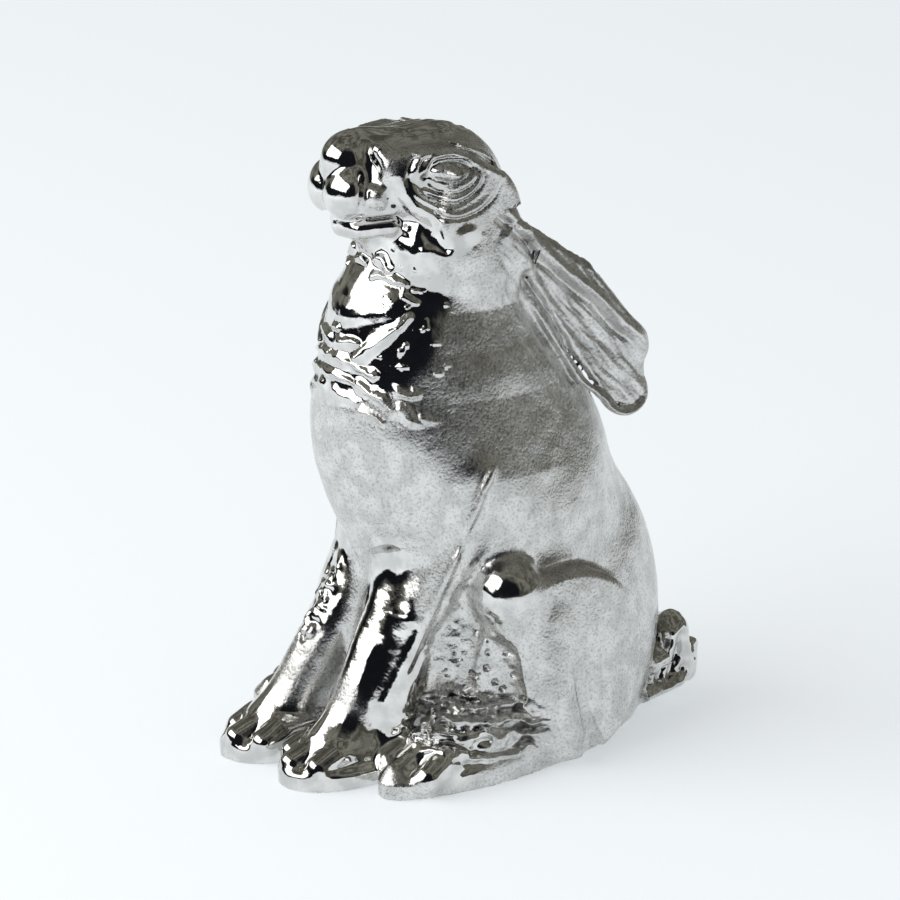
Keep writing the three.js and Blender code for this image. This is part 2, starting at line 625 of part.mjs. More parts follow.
const castings = {
  trunk: cutBy(
    trunkBlank, neckBlock(JOINT_GAP), neckSpigot(JOINT_GAP), floor,
    ...earSockets, ...forelegSockets, ...hindFootSockets, ...tailSockets,
  ),
  head: cutBy(largest(headBlank.intersect(neckBlock(0))).add(neckSpigot(0)), ...earSockets),
  tail: cutBy(castLimb(tail, EAR_FACET), floor),
};
for (const [name, form] of Object.entries(earForms)) {
  castings[name] = castLimb(form, EAR_FACET);
}
for (const [name, form] of Object.entries(forelegForms)) {
  castings[name] = cutBy(castLimb(form, LIMB_FACET), floor);
}
for (const [name, form] of Object.entries(hindFootForms)) {
  castings[name] = cutBy(castLimb(form, LIMB_FACET), floor, ...forelegSockets);
}

// Finishes
const PEWTER = 0xc6c4bd;
const SATIN = 0.32;
const POLISHED = 0.16;
const roughnessOf = { head: POLISHED, left_foreleg: POLISHED, right_foreleg: POLISHED };

function meshOf(name, solid) {
  const { numProp, vertProperties, triVerts } = solid.getMesh();
  const places = new Float32Array((vertProperties.length / numProp) * 3);
  for (let i = 0; i * numProp < vertProperties.length; i++) {
    places.set(vertProperties.subarray(i * numProp, i * numProp + 3), i * 3);
  }
  const geometry = new THREE.BufferGeometry();
  geometry.setAttribute("position", new THREE.BufferAttribute(places, 3));
  geometry.setIndex(new THREE.BufferAttribute(triVerts, 1));
  const material = new THREE.MeshStandardMaterial({
    color: PEWTER,
    roughness: roughnessOf[name] ?? SATIN,
    metalness: 1,
  });
  const mesh = new THREE.Mesh(geometry, material);
  mesh.name = name;
  return mesh;
}

const hare = new THREE.Group();
for (const [name, solid] of Object.entries(castings)) {
  hare.add(meshOf(name, solid));
}

export default hare;
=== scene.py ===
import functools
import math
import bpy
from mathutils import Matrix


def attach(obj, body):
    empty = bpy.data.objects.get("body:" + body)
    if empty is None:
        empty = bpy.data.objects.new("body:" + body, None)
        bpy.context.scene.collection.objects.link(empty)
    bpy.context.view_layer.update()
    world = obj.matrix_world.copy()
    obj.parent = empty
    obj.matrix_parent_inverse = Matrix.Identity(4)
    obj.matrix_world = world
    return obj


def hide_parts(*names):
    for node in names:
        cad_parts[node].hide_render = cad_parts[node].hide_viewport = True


bl_info = {
    "name": "Pewter Hare",
    "version": (1, 0, 0),
    "blender": (4, 5, 0),
    "location": "View3D > Sidebar > Hare",
    "description": "Sculpts a cast pewter hare and sets it on a white table under a soft box",
    "category": "Object",
}

import bpy
import numpy as np
from bpy.props import FloatProperty, FloatVectorProperty, PointerProperty
from mathutils import Vector

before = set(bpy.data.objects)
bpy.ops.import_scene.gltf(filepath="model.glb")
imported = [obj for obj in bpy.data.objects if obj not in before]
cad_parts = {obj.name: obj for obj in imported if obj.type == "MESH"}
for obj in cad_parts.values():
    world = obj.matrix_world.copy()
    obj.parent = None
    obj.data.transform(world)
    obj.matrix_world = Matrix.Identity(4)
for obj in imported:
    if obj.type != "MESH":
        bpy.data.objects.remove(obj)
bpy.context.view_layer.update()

# The sculpt is worked in millimetres, and a mesh is scaled to metres when it is made.
MM = 0.001

# Trunk
RUMP = (18.4, 25.5, 33)
RUMP_Y = 3.5
RUMP_SUNK = 7.7
BARREL = (20.5, 22, 26)
BARREL_Y = 0.2
CHEST = (19.5, 20.6, 21)
CHEST_Y = -2.6
CHEST_Z = 26.6
BELLY = (16, 16, 20)
SHOULDER_EDGE = (9.9, 2.6, 22)
SHOULDER_WAY = (0.945, 0.05, 0.325)
RECESS_SQUASH = 1.9

# Neck and head
HEAD_Y = -3.4
HEAD_Z = CHEST_Z + 18
NECK_RADIUS = 5.6
NECK_BASE_RADIUS = 8
RUFF_RADIUS = 6.2
SKULL = (10.6, 11.4, 10.8)
MUZZLE_REACH = 10.3
TEMPLE = (-5.5, 46.9)

# Ears
EAR_JOINTS = ((0.6, 41.2, 2.4), (5.2, 36.9, 3.2), (8.4, 31.9, 3.5), (9.7, 28.8, 2.2))
EAR_X = SKULL[0] / 2 - 1.5
EAR_SPLAY = 0.2
EAR_DISH = 0.04
EAR_THICKNESS = 2.1

# Haunches, legs and feet
HAUNCH_SPREAD = 7.4
FORELEG_RADIUS = 2.3
FORELEG_SPREAD = 3.7
FORELEG_STRIDE = 1.1
FOREPAW = (5.8, 9.6, 4.4)
HIND_FOOT = (6.2, 19.4, 4.4)
LEFT_TOE_OUT = 12
RIGHT_TOE_OUT = 21
HOCK_HEIGHT = 9
TOE_RADIUS = 1.2

# Tail
TAIL_ROOT_Y = RUMP_Y + RUMP[1] / 2 - 1.1
TAIL_WIDTH = 4.8
TAIL_THICKNESS = 3

# Neck joint, where head and trunk meet
NECK_JOINT = np.array([0, HEAD_Y + 1, HEAD_Z - 7.4])
NECK_JOINT_UP = np.array([0, math.sin(math.radians(27)), math.cos(math.radians(27))])

# Box that holds the figure
FIGURE_LOW = np.array([-17, -23, -1.5])
FIGURE_HIGH = np.array([17, 23, 53.0])


# Forms. Each takes points in millimetres and gives their distance to its surface, negative inside.

# Further off than any form, and small enough to add to a divisor
NOWHERE = 1e3
TINY = 1e-6


def single(values):
    return np.array(values, dtype=np.float32)


def turning(angle, axis):
    c, s = math.cos(math.radians(angle)), math.sin(math.radians(angle))
    rows = {"X": ((1, 0, 0), (0, c, -s), (0, s, c)), "Z": ((c, -s, 0), (s, c, 0), (0, 0, 1))}
    return single(rows[axis])


def ellipsoid(points, centre, radii, turn=0, axis="X"):
    local = points - single(centre)
    if turn:
        local = local @ turning(turn, axis)
    radii = single(radii)
    scaled = local / radii
    reach = np.sqrt((scaled * scaled).sum(1))
    slope = np.sqrt(((scaled / radii) ** 2).sum(1)) + TINY
    return reach * (reach - 1) / slope


def on_segment(points, start, end, kind=float):
    """How far along a segment each point lies, as a share of its length, and how far off it."""
    start, span = np.array(start, kind), np.subtract(end, start).astype(kind)
    local = points - start
    share = np.clip(local @ span / (span @ span), 0, 1)
    return share, np.linalg.norm(local - share[:, None] * span, axis=1)


def limb(points, *joints):
    """Round segments from joint to joint, each with its place and radius."""
    least = np.full(len(points), NOWHERE, dtype=np.float32)
    for (*start, first), (*end, last) in zip(joints, joints[1:]):
        share, off = on_segment(points, start, end, np.float32)
        least = np.minimum(least, off - first - (last - first) * share)
    return least


def melt(first, second, blend):
    share = np.maximum(blend - np.abs(first - second), 0) / blend
    return np.minimum(first, second) - share * share * blend / 4


def melted(blend, *forms):
    result = forms[0]
    for form in forms[1:]:
        result = melt(result, form, blend)
    return result


def carved(form, cut, blend):
    return -melt(-form, cut, blend)


def half(sizes):
    return [size / 2 for size in sizes]


def eased(share):
    return share * share * (3 - 2 * share)


def smooth_step(value, low, high):
    return eased(np.clip((value - low) / (high - low), 0, 1))


def folded(points):
    """Both flanks share one form, so points are folded onto the left flank."""
    left = points.copy()
    left[:, 0] = np.abs(left[:, 0])
    return left


def flattened(points):
    return points * single((0, 1, 1))


def flipped(points):
    return points * single((-1, 1, 1))


# Large numbers that mix a lattice cell and a seed into a random height
CELL_MIX = (73856093, 19349663, 83492791)
SEED_MIX = 2654435761
LAST_MIX = 1274126177


def noise(points, size, seed):
    """Smooth random heights from -1 to 1, on a lattice of the given size."""
    scaled = points / size
    cell = np.floor(scaled)
    share = eased(scaled - cell)
    cell = cell.astype(np.int64)
    total = np.zeros(len(points))
    for corner in range(8):
        offset = np.array([corner & 1, corner >> 1 & 1, corner >> 2 & 1])
        i, j, k = ((cell + offset) * CELL_MIX).T
        mixed = i ^ j ^ k ^ (seed * SEED_MIX)
        mixed = (mixed ^ (mixed >> 13)) * LAST_MIX & 0xFFFFFFFF
        value = (mixed ^ (mixed >> 16)) % 65536 / 32767.5 - 1
        weight = np.prod(np.where(offset, share, 1 - share), axis=1)
        total += weight * value
    return total


def streaks(points, way, width, length, seed):
    """Noise that is drawn out along a direction, like hair."""
    way = np.array(way) / np.linalg.norm(way)
    drawn = points + (points @ way)[:, None] * way * (width / length - 1)
    return noise(drawn, width, seed)


def swell(off, width):
    """1 on a line, and less with the distance off it."""
    return np.exp(-(off / width) ** 2)


def stroke(points, *joints):
    """How strongly a point lies on a line of joints, each with its place and half width."""
    most = np.zeros(len(points))
    for (*start, first), (*end, last) in zip(joints, joints[1:]):
        share, off = on_segment(points, start, end)
        most = np.maximum(most, swell(off, first + (last - first) * share))
    return most


def on_flank(points, place, reach):
    """Where points lie around a place on the flank, in shares of a reach back and up."""
    return (points[:, 1] - place[0]) / reach[0], (points[:, 2] - place[1]) / reach[1]


# How much more a slab's face falls away towards the rear, from this far behind its middle
REAR_FALL = 8
REAR_START = 1.6


def slab(points, place, reach, inner, radius, flare, dome=0):
    """A rounded slab that faces aside, with an oval outline in the plane of the flank."""
    y, z = on_flank(points, place, reach)
    beyond = np.maximum(0, (np.sqrt(y * y + z * z) + TINY - 1) * min(reach))
    back, up = on_flank(points, place, (1, 1))
    lean = inner + flare * back - dome * (back ** 2 + up ** 2)
    lean -= dome * REAR_FALL * np.maximum(0, back - REAR_START) ** 2
    return np.hypot(beyond, np.maximum(0, points[:, 0] - lean)) - radius


# Main forms of the casting

def trunk_form(points):
    left = folded(points)
    rump = ellipsoid(points, (0, RUMP_Y, RUMP[2] / 2 - RUMP_SUNK), half(RUMP))
    barrel = ellipsoid(points, (0, BARREL_Y, CHEST_Z - 5.4), half(BARREL), 8)
    chest = ellipsoid(points, (0, CHEST_Y, CHEST_Z), half(CHEST))
    body = melted(2, rump, barrel, chest)
    slope = (left - single(SHOULDER_EDGE)) @ single(SHOULDER_WAY)
    body = carved(body, -slope, 1.6)
    neck = limb(
        points,
        (0, CHEST_Y + 0.6, CHEST_Z - 2.6, NECK_BASE_RADIUS + 1.4),
        (0, CHEST_Y + 0.6, CHEST_Z + 3.4, NECK_BASE_RADIUS),
        (0, CHEST_Y + 0.4, HEAD_Z - 8, NECK_RADIUS + 0.9),
        (0, HEAD_Y + 0.4, HEAD_Z - 3, NECK_RADIUS - 0.5),
    )
    ruff_radii = (RUFF_RADIUS, RUFF_RADIUS - 0.8, RUFF_RADIUS + 2.4)
    ruff = ellipsoid(points, (0, CHEST_Y - 4, CHEST_Z + 6), ruff_radii)
    belly = ellipsoid(points, (0, -2.4, 9), half(BELLY))
    body = melted(2, body, neck, ruff, belly)
    upper_arm = limb(
        left, (7.6, -4, 24, 2.2), (7.3, -5.4, 18, 1.9), (5.6, -7.8, 12, 1.5), (5, -9.8, 6, 1.3))
    body = melt(body, upper_arm, 0.8)
    pocket = limb(left, (2.2, -10.2, 16.6, 0.5), (4.6, -10, 17.2, 0.9), (7.4, -8.7, 17.9, 0.4))
    body = carved(body, pocket, 0.4)
    haunch = slab(left, (2.7, 8.2), (6.7, 7.3), 11.3, 0.5, 0.03, 0.007)
    shin = limb(left, (9.9, 0.9, 12, 1.2), (10.5, 1.2, 6, 1.7), (10.5, 1.8, 3.4, 2))
    body = melt(body, melt(haunch, shin, 1.6), 0.5)
    recess = limb(
        left * single((RECESS_SQUASH, 1, 1)),
        (20.6, -6.9, 17.4, 0.9), (20.8, -6.8, 13.2, 2.4), (20.6, -5.7, 8.8, 3.8), (20.6, -5.4, 4.4, 4.4))
    body = carved(body, recess / RECESS_SQUASH, 0.25)
    hock_line = limb(
        left, (12.2, 2.2, 9.8, 0.2), (12.2, 2.9, 6.8, 0.4), (12.1, 3.7, 4, 0.7), (11.6, 4.7, 1, 1.1))
    body = carved(body, hock_line, 0.2)
    knee = ellipsoid(left, (9.5, -2.1, 14.7), (2.8, 2.7, 3))
    return melt(body, knee, 1.1)


def head_form(points):
    left = folded(points)
    skull = ellipsoid(points, (0, HEAD_Y, HEAD_Z), half(SKULL))
    bridge = limb(
        points,
        (0, HEAD_Y - 1.6, HEAD_Z + SKULL[2] / 2 - 4, 3.9),
        (0, HEAD_Y + 2.8 - MUZZLE_REACH, HEAD_Z + SKULL[2] / 2 - 1.7, 1.8),
    )
    muzzle = ellipsoid(points, (0, HEAD_Y + 4.4 - MUZZLE_REACH, HEAD_Z + 1.8), (2.3, 3.2, 3.9))
    chin = (0, HEAD_Y + 3.6 - MUZZLE_REACH, HEAD_Z - 1.4, 1.4)
    jaw = limb(points, (0, HEAD_Y - 2, HEAD_Z - 2.6, 3.2), chin)
    cheek = ellipsoid(left, (SKULL[0] / 2 - 2, HEAD_Y - 0.4, HEAD_Z - 3), (2.9, 4.2, 3.2))
    face = melted(1.4, skull, bridge, muzzle, jaw, cheek)
    jowl = limb(left, (3.3, -6.4, 41, 1.7), (4.2, -2.8, 40.5, 2.1), (4.5, 0.6, 39.9, 1.9))
    face = melt(face, jowl, 1.4)
    temple = slab(left, TEMPLE, (4, 2), 4.6, 0.7, 0.3, 0.018)
    brow = limb(
        left, (2.9, -9, 48, 0.8), (4.1, -7.2, 47.7, 0.9), (4.5, -5, 47.6, 0.9), (4.5, -2.4, 46.9, 1))
    nape = slab(left, (-2.4, 43.2), (2.9, 3.7), 5.6, 0.8, 0)
    face = melted(0.8, face, temple, brow, nape)
    lobe = ellipsoid(left, (1.2, -11.2, 46), (2.3, 1.95, 2.3), -20)
    corner = ellipsoid(left, (3, -9.6, 45.8), (1.1, 1.2, 1.1))
    face = melt(face, lobe, 0.3)
    valley = limb(
        left,
        (1.8, -10.2, 50.6, 0.3), (3.1, -10.4, 48.4, 0.8), (3.8, -10.9, 46.2, 0.7), (3.6, -11.4, 45, 0.3))
    face = carved(face, valley, 0.6)
    face = melt(face, corner, 0.3)
    hollow = limb(
        left, (4.2, -9.4, 45.9, 0.4), (4.9, -8.6, 44.6, 0.9), (5.7, -7.2, 43.2, 1), (6.3, -5.8, 41.9, 0.4))
    face = carved(face, hollow, 0.5)
    upper_lip = limb(left, (0, -11.9, 44.6, 0.5), (2.4, -10.6, 44.6, 0.55), (3.4, -8.8, 44.8, 0.5))
    mouth = limb(left, (0, -12.6, 43.9, 0.35), (2.2, -11.2, 43.8, 0.25), (3.4, -9.2, 44, 0.1))
    lip = limb(left, (0, -11.2, 43, 0.85), (1.6, -10.5, 43, 0.8), (2.9, -8.6, 43.3, 0.75))
    orbit = limb(
        left, (2.4, -9.2, 49.1, 0.7), (3.6, -8.4, 47.4, 1), (4.6, -7.2, 45.2, 0.9), (5.1, -5.6, 43.9, 0.7))
    pouch = ellipsoid(left, (4.9, -3.9, 42.7), (1.6, 1.9, 1.6), 10)
    face = melted(0.35, face, upper_lip, lip, orbit, pouch)
    return carved(face, mouth, 0.2)


def ear_line(points):
    """How far along and aside of its middle line a point of the ear is, seen from the flank."""
    root = np.array(EAR_JOINTS[0][:2])
    tip = np.array(EAR_JOINTS[2][:2])
    ahead = (tip - root) / np.linalg.norm(tip - root)
    local = points[:, 1:] - root
    return local @ ahead, local @ np.array([-ahead[1], ahead[0]])


def ear_outline(points):
    return limb(flattened(points), *[(0, y, z, r) for y, z, r in EAR_JOINTS])


def ear_form(points):
    left = folded(points)
    along, aside = ear_line(left)
    lean = EAR_X + EAR_SPLAY * along + EAR_DISH * aside * aside
    beyond = np.maximum(0, ear_outline(left) + EAR_THICKNESS / 2)
    return np.hypot(beyond, left[:, 0] - lean) - EAR_THICKNESS / 2


PLINTH_EDGE = 0.6


def plinth(points, x, y, reach, turn, height):
    """A low rounded step under a foot."""
    flat = np.stack([points[:, 0] - x, points[:, 1] - y, points[:, 2] * 0], axis=1) @ turning(turn, "Z")
    round_reach = np.hypot(flat[:, 0] / reach[0], flat[:, 1] / reach[1])
    beyond = np.maximum(0, (round_reach - 1) * min(reach))
    return np.hypot(beyond, np.maximum(0, points[:, 2] - height + PLINTH_EDGE)) - PLINTH_EDGE


def toe_forms(points, x, y, reach, turn, width):
    ahead = (math.sin(turn), -math.cos(turn))
    forms = []
    for place in (-1.1, -0.1, 0.9):
        aside = place * (width - TOE_RADIUS * 1.4) / 2
        length = reach - abs(place + 0.1) * 1.2
        root = (x - ahead[1] * aside * 0.8, y + ahead[0] * aside * 0.8)
        tip = (x - ahead[1] * aside + ahead[0] * length, y + ahead[0] * aside + ahead[1] * length)
        knuckle = ((root[0] + tip[0] * 2) / 3, (root[1] + tip[1] * 2) / 3)
        forms.append(limb(
            points,
            (*root, TOE_RADIUS * 2.2, TOE_RADIUS * 0.85),
            (*knuckle, TOE_RADIUS * 2, TOE_RADIUS),
            (*tip, TOE_RADIUS * 1.35, TOE_RADIUS * 0.9),
        ))
    return forms


def foreleg_form(points, stride):
    x = FORELEG_SPREAD
    wrist = CHEST_Y - 7.8 - stride
    elbow = (CHEST_Y + wrist) / 2
    leg = limb(
        points,
        (x - 1, CHEST_Y - 2.6, CHEST_Z - 9, FORELEG_RADIUS + 0.8),
        (x - 0.6, elbow - 2.8, (CHEST_Z - 8.6) * 0.58, FORELEG_RADIUS + 0.1),
        (x - 0.2, wrist - 1.7, FOREPAW[2] + 0.6, FORELEG_RADIUS),
        (x, wrist - 3.8, FOREPAW[2] / 2 + 0.1, FORELEG_RADIUS - 0.1),
    )
    outer = limb(
        points,
        (x + 0.9, elbow - 1, 17.5, 0.8),
        (x + 1.5, elbow - 2, 12.4, 1.45),
        (x + 1.4, wrist + 0.6, FOREPAW[2], 1.8),
        (x + 1.3, wrist - 0.2, 0.8, 1.3),
    )
    leg = melt(leg, outer, 0.9)
    paw = ellipsoid(
        points,
        (x, wrist - FOREPAW[1] / 2 + 2.2, FOREPAW[2] / 2 - 0.6),
        (FOREPAW[0] / 2 + 0.1, FOREPAW[1] / 2 - 0.8, FOREPAW[2] / 2 + 0.1),
    )
    pad = plinth(points, x + 0.1, wrist - 3.4, (FOREPAW[0] / 2, FOREPAW[1] / 2 - 0.5), 0, 1.6)
    toes = toe_forms(points, x, wrist - 1.4, FOREPAW[1] - 3.6, 0, FOREPAW[0])
    whole = melted(0.25, melt(leg, paw, 1.6), *toes)
    return melt(whole, pad, 0.5)


def hind_foot_form(points, toe_out):
    turn = math.radians(toe_out)
    heel = (HAUNCH_SPREAD - 1.2, RUMP_Y + 0.9, HIND_FOOT[2] / 2 - 0.4)
    length = HIND_FOOT[1] / 2

    def along(distance):
        return heel[0] + math.sin(turn) * distance, heel[1] - math.cos(turn) * distance

    sole = ellipsoid(
        points, (*along(length - 2.9), 1),
        (HIND_FOOT[0] / 2 + 0.6, length - 0.6, HIND_FOOT[2] + 1.4), toe_out, "Z")
    pad = plinth(points, *along(length - 2.4), (HIND_FOOT[0] / 2 - 0.2, length - 0.6), toe_out, 1.7)
    ankle = (heel[0] + 1, heel[1] - 2.2, HOCK_HEIGHT, 3.1)
    hock = limb(points, (heel[0] + 0.2, heel[1], heel[2], 2.8), ankle)
    toes = toe_forms(points, *along(HIND_FOOT[1] - 8.8), 6, turn, HIND_FOOT[0])
    whole = melted(0.25, melt(sole, hock, 1.2), *toes)
    return melt(whole, pad, 0.9)


def tail_outline(points):
    back = TAIL_ROOT_Y + 2.4
    return limb(
        flattened(points),
        (0, TAIL_ROOT_Y - 6, 4.6, TAIL_WIDTH * 0.36),
        (0, TAIL_ROOT_Y - 2.6, 2.2, TAIL_WIDTH * 0.42),
        (0, back, TAIL_WIDTH / 2 + 0.4, TAIL_WIDTH / 2),
        (0, back + 0.2, TAIL_WIDTH / 2 + 3, TAIL_WIDTH * 0.36),
    )


def tail_form(points):
    lean = 2.2 - 0.3 * (np.maximum(points[:, 1], TAIL_ROOT_Y - 2) - TAIL_ROOT_Y)
    beyond = np.maximum(0, tail_outline(points) + TAIL_THICKNESS / 2)
    leaf = np.hypot(beyond, points[:, 0] - lean) - TAIL_THICKNESS / 2
    curl = limb(points, (0.9, TAIL_ROOT_Y + 4.4, 1.6, 1), (0.7, TAIL_ROOT_Y + 5, 3.6, 0.7))
    return melt(leaf, curl, 0.3)


# Relief, as heights in millimetres that are added to the main forms

def ring_line(points, place, reach, radius, width):
    """How strongly a point lies on an oval line around a place on the flank."""
    y, z = on_flank(points, place, reach)
    return swell((np.sqrt(y * y + z * z) - radius) * min(reach), width)


def spot(points, place, reach):
    y, z = on_flank(points, place, reach)
    return np.exp(-(y * y + z * z))


def path_line(points, width, *joints):
    """How strongly a point lies on a line through places on the flank."""
    least = np.full(len(points), NOWHERE)
    for start, end in zip(joints, joints[1:]):
        least = np.minimum(least, on_segment(points[:, 1:], start, end)[1])
    return swell(least, width)


# Places and reaches of the left eye, back and up on the flank
SOCKET = (-4.4, 47.3)
SOCKET_REACH = (3.5, 3.2)
EYE = (-4.9, 47.4)
EYE_REACH = (2.5, 2)
LIDS = (-4.9, 47.5)
LIDS_REACH = (1.9, 1.35)
EYEBALL = (-5, 47.7)
EYE_CORNER = (-6.9, 47.4)
BROW_GROOVE = ((-7.4, 49.6), (-4.6, 49.5), (-2.6, 48.7), (-0.6, 47.4))
BROW_RIDGE = ((-7.2, 49.1), (-4.6, 49), (-2.8, 48.2), (-0.8, 46.9))


def eye_relief(points):
    x, y, z = points.T
    sway = 0.25 * noise(points, 1.6, 3)
    bent = points + np.stack([sway * 0, sway, sway], axis=1)
    below = smooth_step(-z, -49.2, -47.6)
    ahead = smooth_step(-y, 4.4, 7) * smooth_step(-z, -49.4, -48.6)
    around = np.maximum(below, ahead) * (0.7 + 0.7 * noise(points, 1.8, 4))
    height = -0.17 * ring_line(bent, SOCKET, SOCKET_REACH, 1, 0.2) * around
    height += 0.12 * ring_line(bent, SOCKET, SOCKET_REACH, 0.88, 0.3) * around
    height -= 0.2 * ring_line(bent, EYE, EYE_REACH, 1, 0.16) * around
    height += 0.14 * ring_line(bent, EYE, EYE_REACH, 0.8, 0.2) * around
    height -= 0.16 * ring_line(bent, LIDS, LIDS_REACH, 1, 0.16)
    height += 0.35 * spot(points, EYEBALL, (1.5, 0.7))
    height -= 0.2 * ring_line(points, EYEBALL, (1.45, 0.72), 1, 0.16)
    height += 0.5 * spot(points, (-4.9, 47.6), (0.55, 0.5))
    height -= 0.3 * spot(points, EYE_CORNER, (0.3, 0.3))
    height -= 0.3 * path_line(points, 0.22, *BROW_GROOVE)
    height += 0.2 * path_line(points, 0.3, *BROW_RIDGE)
    return height * smooth_step(x, 2.6, 4.2)


def ear_relief(points):
    along, aside = ear_line(points)
    sway = 0.4 * noise(points, 2.8, 11) + 0.1 * noise(points, 0.9, 12)
    inside = smooth_step(-ear_outline(points), 0.2, 0.9)
    near_root = 1 - smooth_step(along, 11, 14)
    rim = aside - 0.09 * along - 1.25 - sway * 0.5
    height = (0.34 * swell(rim, 0.36) - 0.4 * swell(rim + 0.7, 0.36)) * near_root
    bowl = inside * smooth_step(along, 1.5, 3.5)
    fold = aside + 1.0 + 0.16 * (along - 3) + sway
    height += bowl * (0.2 * swell(fold - 0.45, 0.34) - 0.34 * swell(fold, 0.24))
    lower = aside + 2.1 + 0.12 * (along - 5) + sway * 0.8
    height += bowl * 0.2 * swell(lower, 0.3)
    height -= 0.3 * swell(aside - 0.2 - 0.05 * along, 1.1) * smooth_step(along, 4, 7)

    def hair(lengthways, across, seed):
        return noise(np.stack([along * lengthways, aside * across + sway, along * 0], axis=1), 0.42, seed)

    hairs = hair(0.16, 1.2, 13) + 0.5 * hair(0.3, 2.4, 14)
    upper_edge = 0.55 * np.maximum(0, rim - 0.2) * near_root
    return height + inside * (0.065 * hairs + 0.25 * aside - 0.04 * (along - 8)) - upper_edge


# Middles and reaches of rounded patches on the left flank, mirrored on the right. They are burnished,
# furred, or cut into finer facets.
BURNISHED = (
    ((0, -9, 37), (7.6, 6, 9.6)),
    ((0, -13, 48), (4.4, 5, 4.6)),
    ((0, -6, 51.2), (5, 8, 2.2)),
    ((4.4, -7.4, 45), (2, 2.4, 3.4)),
    ((5.4, -4.6, 42.2), (1.6, 2.2, 1.5)),
    ((4.2, -10, 9), (3.4, 3.4, 10)),
    ((4.2, -15.4, 1.8), (5, 5.4, 3.6)),
    ((10, -2.4, 15.2), (2.4, 2.4, 2.6)),
    ((9.6, -8.4, 2.4), (4, 4, 2.4)),
    ((1.6, 19, 4), (4, 5, 5)),
)
FURRED = (
    ((6, 3, 36), (4, 5.5, 10)),
    ((7, 7, 34), (4, 7, 9)),
    ((9.6, -4.6, 3.6), (4, 7, 2.4)),
)
FINE = (
    ((0, -9, 33), (9.4, 6.6, 9)),
    ((9, -5, 9), (4.4, 4.4, 11)),
    ((10.4, 2, 15.8), (3, 9, 4)),
    ((11.6, 1.6, 6), (3, 4.4, 7)),
)


def patches_at(points, patches, edge):
    """1 inside the patches and 0 outside, with a soft edge of the given width."""
    left = folded(points.astype(np.float32))
    least = np.full(len(points), NOWHERE, dtype=np.float32)
    for place, reach in patches:
        least = np.minimum(least, ellipsoid(left, place, reach))
    return 1 - smooth_step(least, -edge, edge)


def patch_at(points, place, reach, edge):
    return patches_at(points, ((place, reach),), edge)


# Painted dark spots: a painted reflection on the pupil, beside its highlight, and painted shade in the eye's
# inner corner. They are added to the darkening of the hollows.
def painted_eye_shade_at(points):
    left = folded(points)
    spots = spot(left, (-4.5, 47.5), (0.35, 0.35)) + spot(left, EYE_CORNER, (0.25, 0.25))
    return spots * (left[:, 0] > 3.5)


def polish_at(points):
    return patches_at(points + noise(points, 2.2, 21)[:, None] * 0.5, BURNISHED, 0.5)


# Each tuft of the ruff: where it starts and ends, as millimetres around the chest from the middle
# of the throat and millimetres above the table, then its half width and its height.
TUFTS = (
    ((-1.6, 40.2), (1, 40), 0.4, 0.26),
    ((2.6, 40.5), (4.8, 39.9), 0.4, 0.28),
    ((2.6, 39.3), (4.4, 39.5), 0.28, 0.22),
    ((4.4, 39.5), (6.6, 38.9), 0.28, 0.22),
    ((6.4, 38.2), (7.8, 37.6), 0.3, 0.2),
    ((-3.4, 37.6), (-1.8, 37.2), 0.5, 0.26),
    ((-2.6, 35.3), (0.4, 35), 0.36, 0.26),
    ((3, 33.3), (7.2, 36.6), 0.46, 0.34),
    ((0.8, 34), (2.8, 34.3), 0.5, 0.32),
    ((-2.4, 33.4), (0.4, 33), 0.4, 0.28),
    ((0.6, 32.9), (2.4, 32.9), 0.48, 0.34),
    ((2.4, 32.9), (4.8, 32.2), 0.32, 0.28),
    ((-2, 31.3), (0.8, 31.5), 0.45, 0.3),
    ((0.8, 31.5), (3, 31.2), 0.3, 0.26),
    ((3.4, 31.2), (5, 30.9), 0.42, 0.3),
    ((5, 30.9), (6.6, 29.9), 0.36, 0.3),
    ((0.9, 30.2), (3.6, 30), 0.46, 0.24),
    ((6.9, 31.2), (8.4, 30.9), 0.34, 0.26),
    ((7, 29.7), (8.9, 28.9), 0.4, 0.3),
    ((9, 29.4), (10.2, 28.6), 0.34, 0.24),
    ((10.2, 28.6), (11.8, 28.4), 0.34, 0.2),
    ((4, 29.5), (5.8, 28.8), 0.34, 0.22),
    ((-3.2, 29.4), (-0.6, 29.2), 0.4, 0.2),
)


def ruff_relief(points):
    """Wet looking tufts of fur that sweep from the middle of the throat down to each side."""
    around = np.arctan2(points[:, 0], CHEST_Y - points[:, 1]) * CHEST[0] / 2
    sway = 0.26 * noise(points, 1.2, 31)
    flat = np.stack([around + sway, points[:, 2] + sway + 0.12 * noise(points, 0.6, 32)], axis=1)
    height = np.zeros(len(points))
    for start, end, width, tall in TUFTS:
        share, off = on_segment(flat, start, end)
        height = np.maximum(height, tall * swell(off, width * (1.15 - 0.5 * share)))
    crest = 1 - smooth_step(np.abs(points[:, 2] - 36.2 - 0.2 * around), 0.2, 1.3)
    crest *= smooth_step(around, -1.5, 0.5) * (1 - smooth_step(around, 5.6, 7.4))
    speckle = np.clip(noise(points, 0.55, 33) - 0.45, 0, 1) * smooth_step(around, 4, 7)
    height = np.maximum(height, 0.14 * crest) + 0.3 * speckle
    edge = patches_at(points, (((0, -9, 34.4), (8.6, 5.8, 7.6)), ((0, -9, 31.4), (9.6, 7, 4.4))), 0.5)
    return height * edge


def leg_ripple(points):
    rough = 0.16 * noise(points, 0.75, 41) + 0.1 * noise(points, 0.4, 42)
    down = streaks(points, (0, -0.3, -1), 0.6, 3, 43) * 0.12
    return (rough + down) * patch_at(points, (3.4, -11.6, 11), (1.6, 2.8, 5), 0.6)


